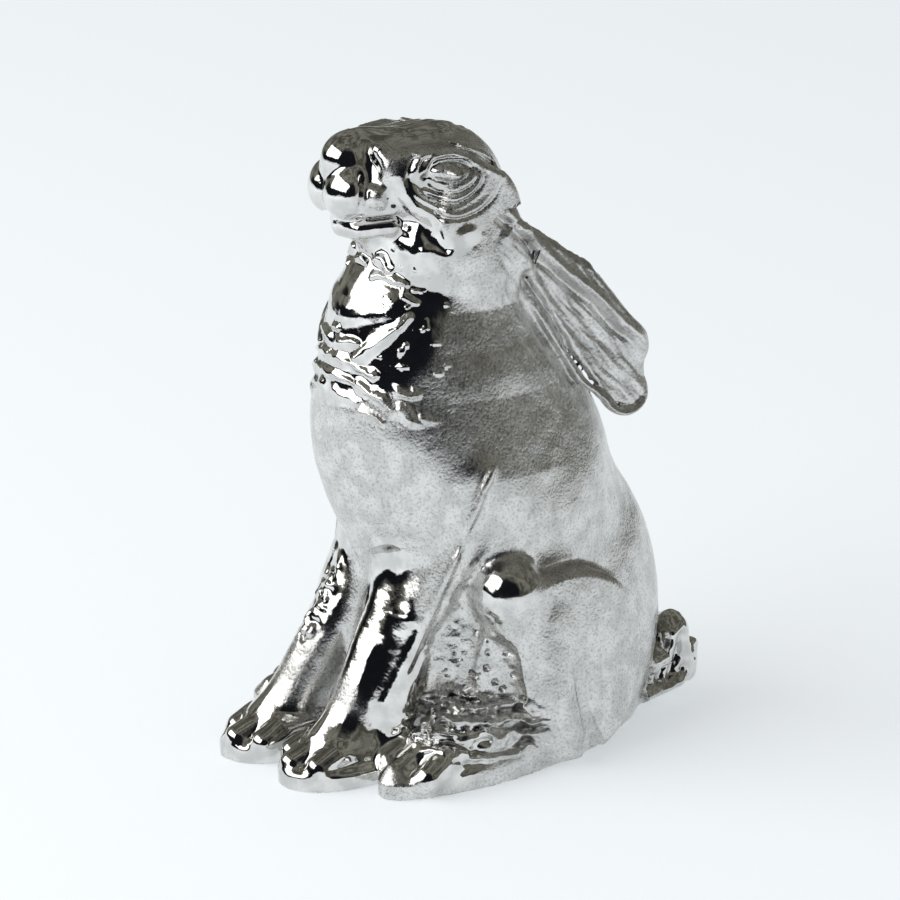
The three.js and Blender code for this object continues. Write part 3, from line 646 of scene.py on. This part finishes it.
# Lines down the outer side of the left foreleg, each joint with its place and half width
LEG_RIDGE = (
    (10.1, -2.8, 26.4, 0.3), (10.2, -4.6, 23.6, 0.4), (9.8, -6.2, 19.4, 0.45), (8.3, -7.4, 15.2, 0.45),
    (7.1, -8.3, 12, 0.45), (6.5, -9.8, 8.6, 0.45), (6, -11, 6.2, 0.3),
)
LEG_GROOVE = (
    (10.4, -2, 26, 0.3), (10.4, -3.9, 23.2, 0.35), (10, -5.5, 19.2, 0.4), (8.8, -6.7, 15.2, 0.4),
    (7.7, -7.6, 12, 0.4), (7.2, -9.1, 8.6, 0.4),
)
RECESS_JAG = (
    (10.6, -4.2, 13.6, 0.4), (11.6, -2.9, 11.2, 0.4), (12, -1.8, 9.4, 0.4), (12, -0.9, 5, 0.5),
)


def leg_relief(points):
    return 0.4 * stroke(points, *LEG_RIDGE) - 0.3 * stroke(points, *LEG_GROOVE)


def recess_relief(points):
    inside = patch_at(points, (8.6, -4.8, 10), (3.4, 3.6, 7.6), 0.6)
    flat = points * np.array((0.4, 1, 1))
    pits = np.clip(noise(flat, 0.62, 51) - 0.3, 0, 1) * smooth_step(-points[:, 2], -13, -9)
    height = inside * (0.06 * noise(flat, 0.5, 52) + 0.1 * noise(flat, 1.5, 53) - 0.5 * pits)
    return height + stroke(points, *RECESS_JAG) * 0.25 * noise(flat, 0.7, 54)


def foot_relief(points):
    """Wavy strands of fur on the top of a hind foot."""
    x, y, z = points.T
    strand = 5.0 * z - 1.2 * x + 0.9 * y + 3.6 * noise(points, 1.3, 61)
    height = 0.26 * (np.sin(strand) - 0.25 * np.sin(strand * 2)) * (0.8 + 0.7 * noise(points, 1, 63))
    height += 0.14 * noise(points, 0.5, 62)
    return height * (smooth_step(z, 1.7, 2.3) * patch_at(points, (9.2, -4.6, 4.2), (4.2, 5.8, 3), 0.8))


def head_relief(points):
    top = smooth_step(points[:, 2], 48.6, 49.6) * smooth_step(points[:, 1], -9, -6.5)
    marks = streaks(points, (0.1, 1, 0.35), 0.42, 3.2, 71)
    height = top * (0.13 * marks + 0.04 * noise(points, 1.1, 72))
    jaw = patch_at(points, (3, -5, 40.6), (3.4, 5.5, 3), 0.8)
    height += jaw * 0.05 * streaks(points, (0.3, 0.8, -0.5), 0.5, 2.4, 73)
    cheek = patch_at(points, (4.6, -6.4, 42.8), (1.6, 2.4, 2), 0.4)
    return height + cheek * 0.12 * noise(points, 0.8, 74)


def neck_relief(points):
    way = (0.2, 0.5, -0.9)
    hairs = streaks(points, way, 0.45, 4, 81) * 0.09 + streaks(points, way, 0.9, 5, 82) * 0.1
    return hairs * patch_at(points, (5, 3.4, 35.6), (5, 5, 9), 1.6)


def tail_relief(points):
    """A thick rim around the leaf, with a few grooves that run up inside it."""
    _, y, z = points.T
    off = tail_outline(points.astype(np.float32))
    rim = swell(off + 0.9, 0.5)
    inner = 1 - smooth_step(off, -1.9, -1.5)
    lines = np.sin((y - z * 0.45) * 4.2 + 1.6 * noise(points, 1.4, 91))
    return 0.35 * rim + inner * (0.2 * lines - 0.35) + 0.08 * noise(points, 0.6, 92)


def relief(points):
    """The height of the modelling on the main forms, alike on both flanks but for one leg and the tail."""
    left = folded(points)
    x, y, z = left.T
    exact = points.astype(float)
    height = 0.03 * noise(exact, 3, 5) + 0.025 * noise(exact, 1.2, 6) + 0.009 * noise(exact, 0.5, 7)
    for chosen, make in (
        ((z > 42) & (y < 1) & (x > 2.6), eye_relief),
        ((z > 38) & (y < 2), head_relief),
        ((ear_outline(left) < 0.8) & (x > 3.4), ear_relief),
        ((z > 25.5) & (z < 42) & (y < -2) & (x < 10), ruff_relief),
        ((z < 27) & (y < -1), leg_relief),
        ((z < 18.5) & (x > 4.4) & (y < 1), recess_relief),
        ((z < 6.5) & (x > 5) & (y < 2), foot_relief),
        ((z > 26) & (y > -3) & (x > 0), neck_relief),
        ((points[:, 0] < 0) & (z < 18) & (y < -7), leg_ripple),
    ):
        height[chosen] += make(left[chosen].astype(float))
    tail = (y > 14) & (z < 9)
    height[tail] += tail_relief(exact[tail])
    return height


# Depth in millimetres that stands for anything further off than a melt can reach
FAR = 3


def within(points, low, high, form):
    """The form's depth inside a box, and a plain large depth outside it, where it can't matter."""
    depth = np.full(len(points), FAR, dtype=np.float32)
    near = ((points > np.array(low)) & (points < np.array(high))).all(axis=1)
    depth[near] = form(points[near])
    return depth


# Each piece's name, the box that holds its form, the form, and how wide it melts into the body.
LIMBS = {
    "left_ear": ((0, -4, 20), (14, 16, 47), ear_form, 0.5),
    "right_ear": ((-14, -4, 20), (0, 16, 47), ear_form, 0.5),
    "left_foreleg": ((-2, -24, -3), (14, 2, 22), lambda at: foreleg_form(at, 0), 0.9),
    "right_foreleg": ((-14, -24, -3), (2, 2, 22), lambda at: foreleg_form(flipped(at), FORELEG_STRIDE), 0.9),
    "left_hind_foot": ((0, -18, -3), (18, 12, 16), lambda at: hind_foot_form(at, LEFT_TOE_OUT), 0.5),
    "right_hind_foot": (
        (-18, -18, -3), (0, 12, 16), lambda at: hind_foot_form(flipped(at), RIGHT_TOE_OUT), 0.5),
    "tail": ((-8, 6, -3), (8, 26, 14), tail_form, 0.4),
}
PIECES = ("trunk", "head", *LIMBS)
NECK_BLEND = 1.6
RELIEF_BAND = 1.2


def body_form(points):
    trunk = within(points, (-20, -20, -3), (20, 20, 48), trunk_form)
    head = within(points, (-10, -20, 33), (10, 8, 56), head_form)
    return melt(trunk, head, NECK_BLEND)


def figure_form(points):
    whole = body_form(points)
    for low, high, form, blend in LIMBS.values():
        whole = melt(whole, within(points, low, high, form), blend)
    near = np.abs(whole) < RELIEF_BAND
    whole[near] -= relief(points[near]).astype(np.float32)
    return np.maximum(whole, -points[:, 2])


def piece_of(points):
    """The number of the piece, in the order of PIECES, whose form lies nearest to each point."""
    least = body_form(points)
    number = np.where((points - NECK_JOINT) @ NECK_JOINT_UP > 0, 1, 0)
    for turn, (low, high, form, _) in enumerate(LIMBS.values()):
        depth = within(points, low, high, form)
        number = np.where(depth < least, turn + 2, number)
        least = np.minimum(least, depth)
    return number


# Surface of the whole figure, as quads with one corner in each grid cell that it passes through

# How many steps wide a coarse cell and half of the exact band are
COARSE = 4
BAND = 8


def sampled_depths(step):
    """Depths on a grid. They are coarse away from the surface and exact in a band around it."""
    cells = np.ceil((FIGURE_HIGH - FIGURE_LOW) / step / COARSE).astype(int)
    axes = [FIGURE_LOW[a] + step * COARSE * np.arange(cells[a] + 1) for a in range(3)]
    coarse = np.stack(np.meshgrid(*axes, indexing="ij"), axis=-1).reshape(-1, 3).astype(np.float32)
    depth = figure_form(coarse).reshape(cells + 1)
    for axis in range(3):
        depth = depth.repeat(COARSE, axis)
    near = np.abs(depth) < step * BAND
    points = (FIGURE_LOW + np.argwhere(near) * step).astype(np.float32)
    depth[near] = in_batches(figure_form, points)
    return depth


def in_batches(form, points, size=120000):
    return np.concatenate([form(points[start:start + size]) for start in range(0, len(points), size)])


SLOPE_REACH = np.float32(0.04)
LONGEST_MOVE = 0.25


def slopes(points, depth):
    """The way out of the figure at each point."""
    slope = np.empty_like(points)
    for axis in range(3):
        aside = points.copy()
        aside[:, axis] += SLOPE_REACH
        slope[:, axis] = in_batches(figure_form, aside) - depth
    return slope / (np.linalg.norm(slope, axis=1)[:, None] + 1e-9)


def settled(points, passes):
    """Moves points that are near the surface onto it."""
    points = points.astype(np.float32)
    for _ in range(passes):
        depth = in_batches(figure_form, points)
        points = points - slopes(points, depth) * np.clip(depth, -LONGEST_MOVE, LONGEST_MOVE)[:, None]
    return points


def surface_quads(step):
    depth = sampled_depths(step)
    inside = depth < 0
    strides = np.array([depth.shape[1] * depth.shape[2], depth.shape[2], 1])
    rings, crossings = [], []
    for axis in range(3):
        low, high = [slice(None)] * 3, [slice(None)] * 3
        low[axis], high[axis] = slice(0, -1), slice(1, None)
        index = np.argwhere(inside[tuple(low)] != inside[tuple(high)])
        beyond = index.copy()
        beyond[:, axis] += 1
        first, second = depth[tuple(index.T)], depth[tuple(beyond.T)]
        point = index.astype(float)
        point[:, axis] += first / (first - second)
        across, along = strides[(axis + 1) % 3], strides[(axis + 2) % 3]
        cell = index @ strides
        ring = np.stack([cell, cell - across, cell - across - along, cell - along], axis=1)
        inward = first >= 0
        ring[inward] = ring[inward][:, ::-1]
        rings.append(ring)
        crossings.append(np.repeat(point, 4, axis=0))
    cells, member = np.unique(np.concatenate(rings), return_inverse=True)
    member = member.reshape(-1)
    crossings = np.concatenate(crossings)
    count = np.bincount(member)
    corners = np.stack([np.bincount(member, crossings[:, a]) / count for a in range(3)], axis=1)
    return FIGURE_LOW + corners * step, member.reshape(-1, 4)


def edges_of(faces):
    """The edges of faces, as pairs of points in the order of each face."""
    return np.stack([faces, np.roll(faces, -1, axis=1)], axis=2).reshape(-1, 2)


def refined(points, quads, chosen):
    """Splits the chosen quads in four. A quad beside them becomes a fan, so that no edge is open."""
    edges = np.sort(edges_of(quads), axis=1)
    _, first, member = np.unique(edges @ np.array([len(points), 1]), return_index=True, return_inverse=True)
    member = member.reshape(-1, 4)
    split = np.zeros(len(first), dtype=bool)
    split[member[chosen].reshape(-1)] = True
    number = np.full(len(first), -1)
    number[split] = len(points) + np.arange(split.sum())
    middles = points[edges[first[split]]].mean(axis=1)
    touched = split[member].any(axis=1)
    hub = np.full(len(quads), -1)
    hub[touched] = len(points) + len(middles) + np.arange(touched.sum())
    hubs = points[quads[touched]].mean(axis=1)
    middle = number[member]
    beside = touched & ~chosen
    fours, threes = [quads[~touched]], []
    for corner in range(4):
        sides = [quads[chosen, corner], middle[chosen, corner], hub[chosen], middle[chosen, corner - 1]]
        fours.append(np.stack(sides, axis=1))
        start, end = quads[beside, corner], quads[beside, (corner + 1) % 4]
        half_way, centre = middle[beside, corner], hub[beside]
        whole = half_way < 0
        threes.append(np.stack([start, end, centre], axis=1)[whole])
        threes.append(np.stack([start, half_way, centre], axis=1)[~whole])
        threes.append(np.stack([half_way, end, centre], axis=1)[~whole])
    return np.concatenate([points, middles, hubs]), np.concatenate(fours), np.concatenate(threes)


class Surface:
    """The whole figure's surface: points, faces, the way out, and what the finish needs to know."""

    def __init__(self, facet):
        points, quads = surface_quads(facet)
        points = settled(points, 1)
        middles = points[quads].mean(axis=1).astype(np.float32)
        fine = (in_batches(piece_of, middles) != 0) | (patches_at(middles, FINE, 0.2) > 0.5)
        points, *self.faces = refined(points, quads, fine)
        self.points = settled(points, 2)
        self.normals = slopes(self.points, in_batches(figure_form, self.points))
        self.owners = [
            in_batches(piece_of, self.points[group].mean(axis=1).astype(np.float32)) for group in self.faces]
        self.polish = polish_at(self.points)
        self.fur = patches_at(self.points, FURRED, 1.2)
        # How deep each point lies below its neighbours darkens the metal. This is partly the metal's patina
        # and partly painted shade in creases and hollows. The eye's painted spots are added to it.
        self.recess = self.hollows() + 0.3 * painted_eye_shade_at(self.points)

    def hollows(self):
        """How deep each point lies below the points around it, in millimetres."""
        near, beside = np.concatenate([edges_of(group) for group in self.faces]).T
        total = len(self.points)
        count = np.bincount(near, minlength=total)[:, None] + TINY
        around = self.points.copy()
        for _ in range(3):
            sums = [np.bincount(near, around[beside, axis], minlength=total) for axis in range(3)]
            around = np.stack(sums, axis=1) / count
        return ((around - self.points) * self.normals).sum(axis=1)


@functools.cache
def surface_for(facet):
    """The figure is sculpted once for each facet width, and every piece is cut from it."""
    return Surface(facet)


# Pieces

def border_loops(faces):
    """The rings of points along the open edges of a set of faces."""
    edges = np.concatenate([edges_of(group) for group in faces])
    known = {tuple(edge) for edge in edges.tolist()}
    onward = {}
    for start, end in known:
        if (end, start) not in known:
            onward.setdefault(end, []).append(start)
    loops = []
    while onward:
        start = next(iter(onward))
        loop = [start]
        while loop[-1] in onward:
            ends = onward[loop[-1]]
            following = ends.pop()
            if not ends:
                del onward[loop[-1]]
            if following == start:
                break
            loop.append(following)
        if len(loop) > 2:
            loops.append(loop)
    return loops


def placed(name, data):
    """Puts a new object with the given data in the scene."""
    made = bpy.data.objects.new(name, data)
    bpy.context.scene.collection.objects.link(made)
    return made


FINISHES = ("polish", "fur", "recess")
ROOT_DEPTH = 1.2
POLISHED = ("head", "left_foreleg", "right_foreleg")


def cut_piece(name, surface, number):
    """Makes one piece of the surface. Its borders are closed by a root that lies inside the figure."""
    faces = [group[owner == number] for group, owner in zip(surface.faces, surface.owners)]
    used, flat = np.unique(np.concatenate([group.reshape(-1) for group in faces]), return_inverse=True)
    flat = flat.reshape(-1)
    split = faces[0].size
    faces = [flat[:split].reshape(-1, 4), flat[split:].reshape(-1, 3)]
    points, normals = surface.points[used], surface.normals[used]
    roots = []
    for loop in border_loops(faces):
        ring = np.array(loop)
        hub = len(points)
        points = np.vstack([points, (points[ring] - normals[ring] * ROOT_DEPTH).mean(axis=0)])
        normals = np.vstack([normals, -normals[ring].mean(axis=0)])
        roots.append(np.stack([ring, np.roll(ring, -1), np.full(len(ring), hub)], axis=1))
    faces[1] = np.concatenate([faces[1], *roots])
    mesh = bpy.data.meshes.new(name)
    mesh.from_pydata(points * MM, [], [*faces[0].tolist(), *faces[1].tolist()], shade_flat=False)
    extra = np.zeros(len(points) - len(used))
    for key in FINISHES:
        values = np.concatenate([getattr(surface, key)[used], extra])
        mesh.attributes.new(key, "FLOAT", "POINT").data.foreach_set("value", values.astype(np.float32))
    mesh.normals_split_custom_set_from_vertices(normals)
    return placed(name, mesh)


def cast(names, metal, detail):
    """Casts the named pieces and gives them their finish and their place in the frame."""
    surface = surface_for(round(detail.facet / MM, 3))
    for name in names:
        piece = cut_piece(name + "_casting", surface, PIECES.index(name))
        slot = "polished_pewter" if name in POLISHED else "satin_pewter"
        piece.data.materials.append(pewter(slot, metal))
        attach(piece, "root")
        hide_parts(name)


# Finish

class Wiring:
    """Adds nodes to an emptied tree of a material or world, and joins their sockets."""

    def __init__(self, owner):
        owner.use_nodes = True
        self.tree = owner.node_tree
        self.tree.nodes.clear()

    def node(self, kind, **settings):
        made = self.tree.nodes.new(kind)
        for key, value in settings.items():
            if key in made.inputs:
                self.join(value, made.inputs[key])
            else:
                setattr(made, key, value)
        return made

    def join(self, source, target):
        """Leads an output, or a fixed value, into a socket."""
        if isinstance(source, bpy.types.NodeSocket):
            self.tree.links.new(source, target)
        else:
            target.default_value = source

    def ramp(self, source, low, high, at_low, at_high):
        made = self.node("ShaderNodeMapRange", interpolation_type="SMOOTHSTEP")
        for value, socket in zip((source, low, high, at_low, at_high), made.inputs):
            self.join(value, socket)
        return made.outputs[0]

    def math(self, operation, first, second):
        made = self.node("ShaderNodeMath", operation=operation)
        for value, socket in zip((first, second), made.inputs):
            self.join(value, socket)
        return made.outputs[0]

    def blend(self, share, first, second):
        made = self.node("ShaderNodeMix", data_type="RGBA")
        for value, number in ((share, 0), (first, 6), (second, 7)):
            self.join(value, made.inputs[number])
        return made.outputs[2]

    def finish(self, kind, output, **settings):
        """Adds the last shader, and the output that it leads to."""
        self.join(self.node(kind, **settings).outputs[0], self.node(output).inputs[0])


FUR_TURN = (math.radians(-62), 0, 0)


def pewter(name, metal):
    """Cast pewter: burnished where it is handled or stands proud, sandy from the mould elsewhere."""
    material = bpy.data.materials.get(name)
    if material and material.get("pewter"):
        return material
    material = bpy.data.materials.new(name)
    material["pewter"] = True
    wiring = Wiring(material)
    place = wiring.node("ShaderNodeTexCoord").outputs["Object"]

    def grain(size, detail=2, stretch=None):
        source = place
        if stretch:
            mapping = wiring.node("ShaderNodeMapping", Vector=place, Scale=stretch, Rotation=FUR_TURN)
            source = mapping.outputs[0]
        return wiring.node("ShaderNodeTexNoise", Vector=source, Scale=1 / size, Detail=detail).outputs["Fac"]

    polish, fur, recess = (
        wiring.node("ShaderNodeAttribute", attribute_name=key).outputs["Fac"] for key in FINISHES)
    sandy = wiring.math("SUBTRACT", 1, polish)
    fine, coarse = grain(metal.grain_size, 4), grain(metal.grain_size * 7, 4)
    hair = grain(metal.grain_size * 1.4, 2, (1, 0.12, 0.12))
    worn = wiring.math("MULTIPLY", wiring.ramp(fine, 0.56, 0.3, 0, 0.4), sandy)
    tone = wiring.blend(wiring.ramp(coarse, 0.35, 0.65, 0, 1), (*metal.shade, 1), (*metal.colour, 1))
    tone = wiring.blend(worn, tone, (*metal.patina_and_shade_colour, 1))
    # Hollows take the patina colour. This is partly the metal's patina and partly painted shade in creases.
    tone = wiring.blend(wiring.ramp(recess, 0.02, 0.2, 0, metal.patina_and_shade), tone, (*metal.patina_and_shade_colour, 1))
    dull = wiring.ramp(fine, 0.3, 0.7, metal.satin * 0.8, metal.satin * 1.25)
    rough = wiring.math("MULTIPLY", dull, sandy)
    rough = wiring.math("ADD", rough, wiring.math("MULTIPLY", fur, metal.satin * 0.35))
    rough = wiring.math("ADD", rough, metal.polished)
    sand = wiring.math("MULTIPLY", fine, wiring.math("MAXIMUM", sandy, 0.16))
    hair = wiring.math("MULTIPLY", hair, wiring.math("MULTIPLY", fur, 1.5))
    height = wiring.math("ADD", sand, hair)
    bump = wiring.node("ShaderNodeBump", Strength=1, Distance=metal.grain_depth, Height=height)
    wiring.finish(
        "ShaderNodeBsdfPrincipled", "ShaderNodeOutputMaterial",
        Metallic=1, Roughness=rough, Normal=bump.outputs[0], **{"Base Color": tone})
    return material


# Stage

CAMERA_AZIMUTH = math.radians(60)
CAMERA_HEIGHT = math.radians(18)
CAMERA_DISTANCE = 0.42
AIM = (0, 0, 0.024)
PIXELS_PER_METRE = 12800
FRAME_PIXELS = 900
AIM_PIXEL = (470, 440)
SENSOR_WIDTH = 36
TABLE_RADIUS = 0.9
TABLE_SIDES = 96
BOX_SIZE = (0.62, 0.27)
BOX_AZIMUTH = math.radians(-10)
BOX_HEIGHT = math.radians(32)
BOX_DISTANCE = 0.45


def direction(azimuth, height):
    """The direction that is turned from the hare's front towards its left, and raised by a height."""
    level = math.cos(height)
    return Vector((math.sin(azimuth) * level, -math.cos(azimuth) * level, math.sin(height)))


def aimed(data, azimuth, height, distance):
    """Puts a camera or lamp at a distance from the figure, turned towards it."""
    made = placed(data.name, data)
    way = direction(azimuth, height)
    made.location = Vector(AIM) + way * distance
    made.rotation_euler = way.to_track_quat("Z", "Y").to_euler()
    return made


def camera():
    data = bpy.data.cameras.new("camera")
    data.sensor_width = SENSOR_WIDTH
    data.lens = SENSOR_WIDTH * CAMERA_DISTANCE * PIXELS_PER_METRE / FRAME_PIXELS
    data.shift_x = (FRAME_PIXELS / 2 - AIM_PIXEL[0]) / FRAME_PIXELS
    data.shift_y = (AIM_PIXEL[1] - FRAME_PIXELS / 2) / FRAME_PIXELS
    bpy.context.scene.camera = aimed(data, CAMERA_AZIMUTH, CAMERA_HEIGHT, CAMERA_DISTANCE)


def table(stage):
    mesh = bpy.data.meshes.new("table")
    turns = [2 * math.pi * n / TABLE_SIDES for n in range(TABLE_SIDES)]
    rim = [(math.cos(t) * TABLE_RADIUS, math.sin(t) * TABLE_RADIUS, 0) for t in turns]
    mesh.from_pydata(rim, [], [tuple(range(TABLE_SIDES))])
    material = bpy.data.materials.new("table")
    paint = (*stage.table_colour, 1)
    Wiring(material).finish("ShaderNodeBsdfPrincipled", "ShaderNodeOutputMaterial", **{
        "Base Color": paint, "Roughness": 0.9, "Specular IOR Level": 0,
        "Emission Color": paint, "Emission Strength": stage.table_glow})
    mesh.materials.append(material)
    placed("table", mesh)


def room(stage):
    """A dim room for the metal to mirror, darkest around the camera, and even light for the table."""
    world = bpy.data.worlds.new("room")
    bpy.context.scene.world = world
    wiring = Wiring(world)
    way = wiring.node("ShaderNodeTexCoord").outputs["Generated"]

    def facing(azimuth, height):
        dot = wiring.node("ShaderNodeVectorMath", operation="DOT_PRODUCT", Vector=way)
        dot.inputs[1].default_value = direction(math.radians(azimuth), math.radians(height))
        return dot.outputs["Value"]

    level = wiring.node("ShaderNodeSeparateXYZ", Vector=way)
    around_camera = wiring.ramp(facing(58, 12), 0.66, 0.86, 0, 1)
    low = wiring.ramp(level.outputs[2], 0.17, 0.24, 1, 0)
    ahead = wiring.ramp(facing(14, 0), 0, 0.3, 0, 1)
    dark = wiring.math("MAXIMUM", around_camera, wiring.math("MULTIPLY", low, ahead))
    patches = wiring.node("ShaderNodeTexNoise", Vector=way, Scale=stage.room_patches, Detail=4)
    share = wiring.ramp(patches.outputs["Fac"], 0.38, 0.64, 0, 1)
    around = wiring.blend(share, (*stage.room_colour, 1), (*stage.room_light_colour, 1))
    mirrored = wiring.blend(dark, around, (*stage.dark_colour, 1))
    rays = wiring.node("ShaderNodeLightPath")
    seen = wiring.blend(rays.outputs["Is Glossy Ray"], (*stage.ambient_colour, 1), mirrored)
    seen = wiring.blend(rays.outputs["Is Camera Ray"], seen, (*stage.table_colour, 1))
    wiring.finish("ShaderNodeBackground", "ShaderNodeOutputWorld", Color=seen)


def soft_box(stage):
    data = bpy.data.lights.new("soft_box", "AREA")
    data.shape = "RECTANGLE"
    data.size, data.size_y = BOX_SIZE
    data.energy = stage.box_radiance * math.pi * data.size * data.size_y
    aimed(data, BOX_AZIMUTH, BOX_HEIGHT, BOX_DISTANCE)


# What a user may change

def tint(name, description, default):
    return FloatVectorProperty(
        name=name, description=description, default=default, subtype="COLOR", size=3, min=0, max=1)


def amount(name, description, default, low=0, high=1, **more):
    return FloatProperty(name=name, description=description, default=default, min=low, max=high, **more)


def factor(name, description, default):
    return amount(name, description, default, subtype="FACTOR")


def distance(name, description, default, low, high):
    return amount(name, description, default, low, high, subtype="DISTANCE", unit="LENGTH", precision=6)


class HareMetal(bpy.types.PropertyGroup):
    colour: tint("Pewter", "Colour of the bare metal", (0.76, 0.755, 0.74))
    shade: tint("Shade", "Colour that the bare metal varies to", (0.6, 0.6, 0.585))
    # Patina and painted shade: the darkening of the hollows and creases uses this colour and share.
    patina_and_shade_colour: tint("Patina", "Colour of the tarnish in the hollows", (0.16, 0.155, 0.14))
    patina_and_shade: factor("Patina Share", "How much tarnish the deepest hollows keep", 0.75)
    satin: factor("Satin Roughness", "Roughness of the metal as it left the mould", 0.22)
    polished: factor("Polished Roughness", "Roughness of the burnished metal", 0.05)
    grain_size: distance("Grain Size", "Width of the grain that the mould left", 0.00022, 0.00005, 0.001)
    grain_depth: distance("Grain Depth", "Depth of the grain that the mould left", 0.00004, 0, 0.0002)


class HareDetail(bpy.types.PropertyGroup):
    facet: distance("Facet", "Width of the facets of the smooth areas", 0.0003, 0.00025, 0.001)


class HareStage(bpy.types.PropertyGroup):
    table_colour: tint("Table", "Colour of the table top", (0.87, 0.91, 0.935))
    table_glow: amount("Table Glow", "How much light the table top gives by itself", 0.4)
    room_colour: tint("Room", "What the metal mirrors above the table", (0.08, 0.078, 0.064))
    room_light_colour: tint("Room Patches", "Lighter patches of the room", (0.25, 0.245, 0.21))
    room_patches: amount("Room Patch Scale", "How fine the lighter patches are", 5, 0.5, 20)
    dark_colour: tint("Dark", "What the metal mirrors around the camera", (0.008, 0.009, 0.012))
    ambient_colour: tint("Ambient", "Light that reaches the table from all round", (0.42, 0.42, 0.42))
    box_radiance: amount("Soft Box", "How bright the face of the soft box is", 2.2, 0, 10)


SETTINGS = {"hare_metal": HareMetal, "hare_detail": HareDetail, "hare_stage": HareStage}


class HareOperator:
    bl_options = {"REGISTER", "UNDO"}
    pieces = ()

    def execute(self, context):
        cast(self.pieces, context.scene.hare_metal, context.scene.hare_detail)
        return {"FINISHED"}


class HARE_OT_trunk(HareOperator, bpy.types.Operator):
    """Cast the trunk with its haunches, ruff and shoulders"""
    bl_idname = "hare.trunk"
    bl_label = "Trunk"
    pieces = ("trunk",)


class HARE_OT_head(HareOperator, bpy.types.Operator):
    """Cast the raised head with its eyes and muzzle"""
    bl_idname = "hare.head"
    bl_label = "Head"
    pieces = ("head",)


class HARE_OT_ears(HareOperator, bpy.types.Operator):
    """Cast the two ears that lie along the back"""
    bl_idname = "hare.ears"
    bl_label = "Ears"
    pieces = ("left_ear", "right_ear")


class HARE_OT_forelegs(HareOperator, bpy.types.Operator):
    """Cast the two forelegs with their paws"""
    bl_idname = "hare.forelegs"
    bl_label = "Forelegs"
    pieces = ("left_foreleg", "right_foreleg")


class HARE_OT_hind_feet(HareOperator, bpy.types.Operator):
    """Cast the two long hind feet"""
    bl_idname = "hare.hind_feet"
    bl_label = "Hind Feet"
    pieces = ("left_hind_foot", "right_hind_foot")


class HARE_OT_tail(HareOperator, bpy.types.Operator):
    """Cast the leaf shaped tail"""
    bl_idname = "hare.tail"
    bl_label = "Tail"
    pieces = ("tail",)


class HARE_OT_stage(HareOperator, bpy.types.Operator):
    """Set the camera, the white table, the dim room and the soft box"""
    bl_idname = "hare.stage"
    bl_label = "Stage"

    def execute(self, context):
        stage = context.scene.hare_stage
        camera()
        table(stage)
        room(stage)
        soft_box(stage)
        context.scene.view_settings.view_transform = "Standard"
        return {"FINISHED"}


OPERATORS = (
    HARE_OT_stage,
    HARE_OT_trunk,
    HARE_OT_head,
    HARE_OT_ears,
    HARE_OT_forelegs,
    HARE_OT_hind_feet,
    HARE_OT_tail,
)


class HARE_PT_casting(bpy.types.Panel):
    bl_idname = "HARE_PT_casting"
    bl_label = "Pewter Hare"
    bl_space_type = "VIEW_3D"
    bl_region_type = "UI"
    bl_category = "Hare"

    def draw(self, context):
        for setting in SETTINGS:
            group = getattr(context.scene, setting)
            column = self.layout.column(align=True)
            for key in group.bl_rna.properties.keys():
                if key not in ("rna_type", "name"):
                    column.prop(group, key)
        for operator in OPERATORS:
            self.layout.operator(operator.bl_idname)


CLASSES = (*SETTINGS.values(), *OPERATORS, HARE_PT_casting)


def register():
    for made in CLASSES:
        bpy.utils.register_class(made)
    for key, group in SETTINGS.items():
        setattr(bpy.types.Scene, key, PointerProperty(type=group))


def unregister():
    for key in SETTINGS:
        delattr(bpy.types.Scene, key)
    for made in reversed(CLASSES):
        bpy.utils.unregister_class(made)


def main():
    register()
    for operator in OPERATORS:
        group, key = operator.bl_idname.split(".")
        if "FINISHED" not in getattr(getattr(bpy.ops, group), key)():
            raise RuntimeError(f"{operator.bl_label} was not made")


if __name__ == "__main__":
    main()
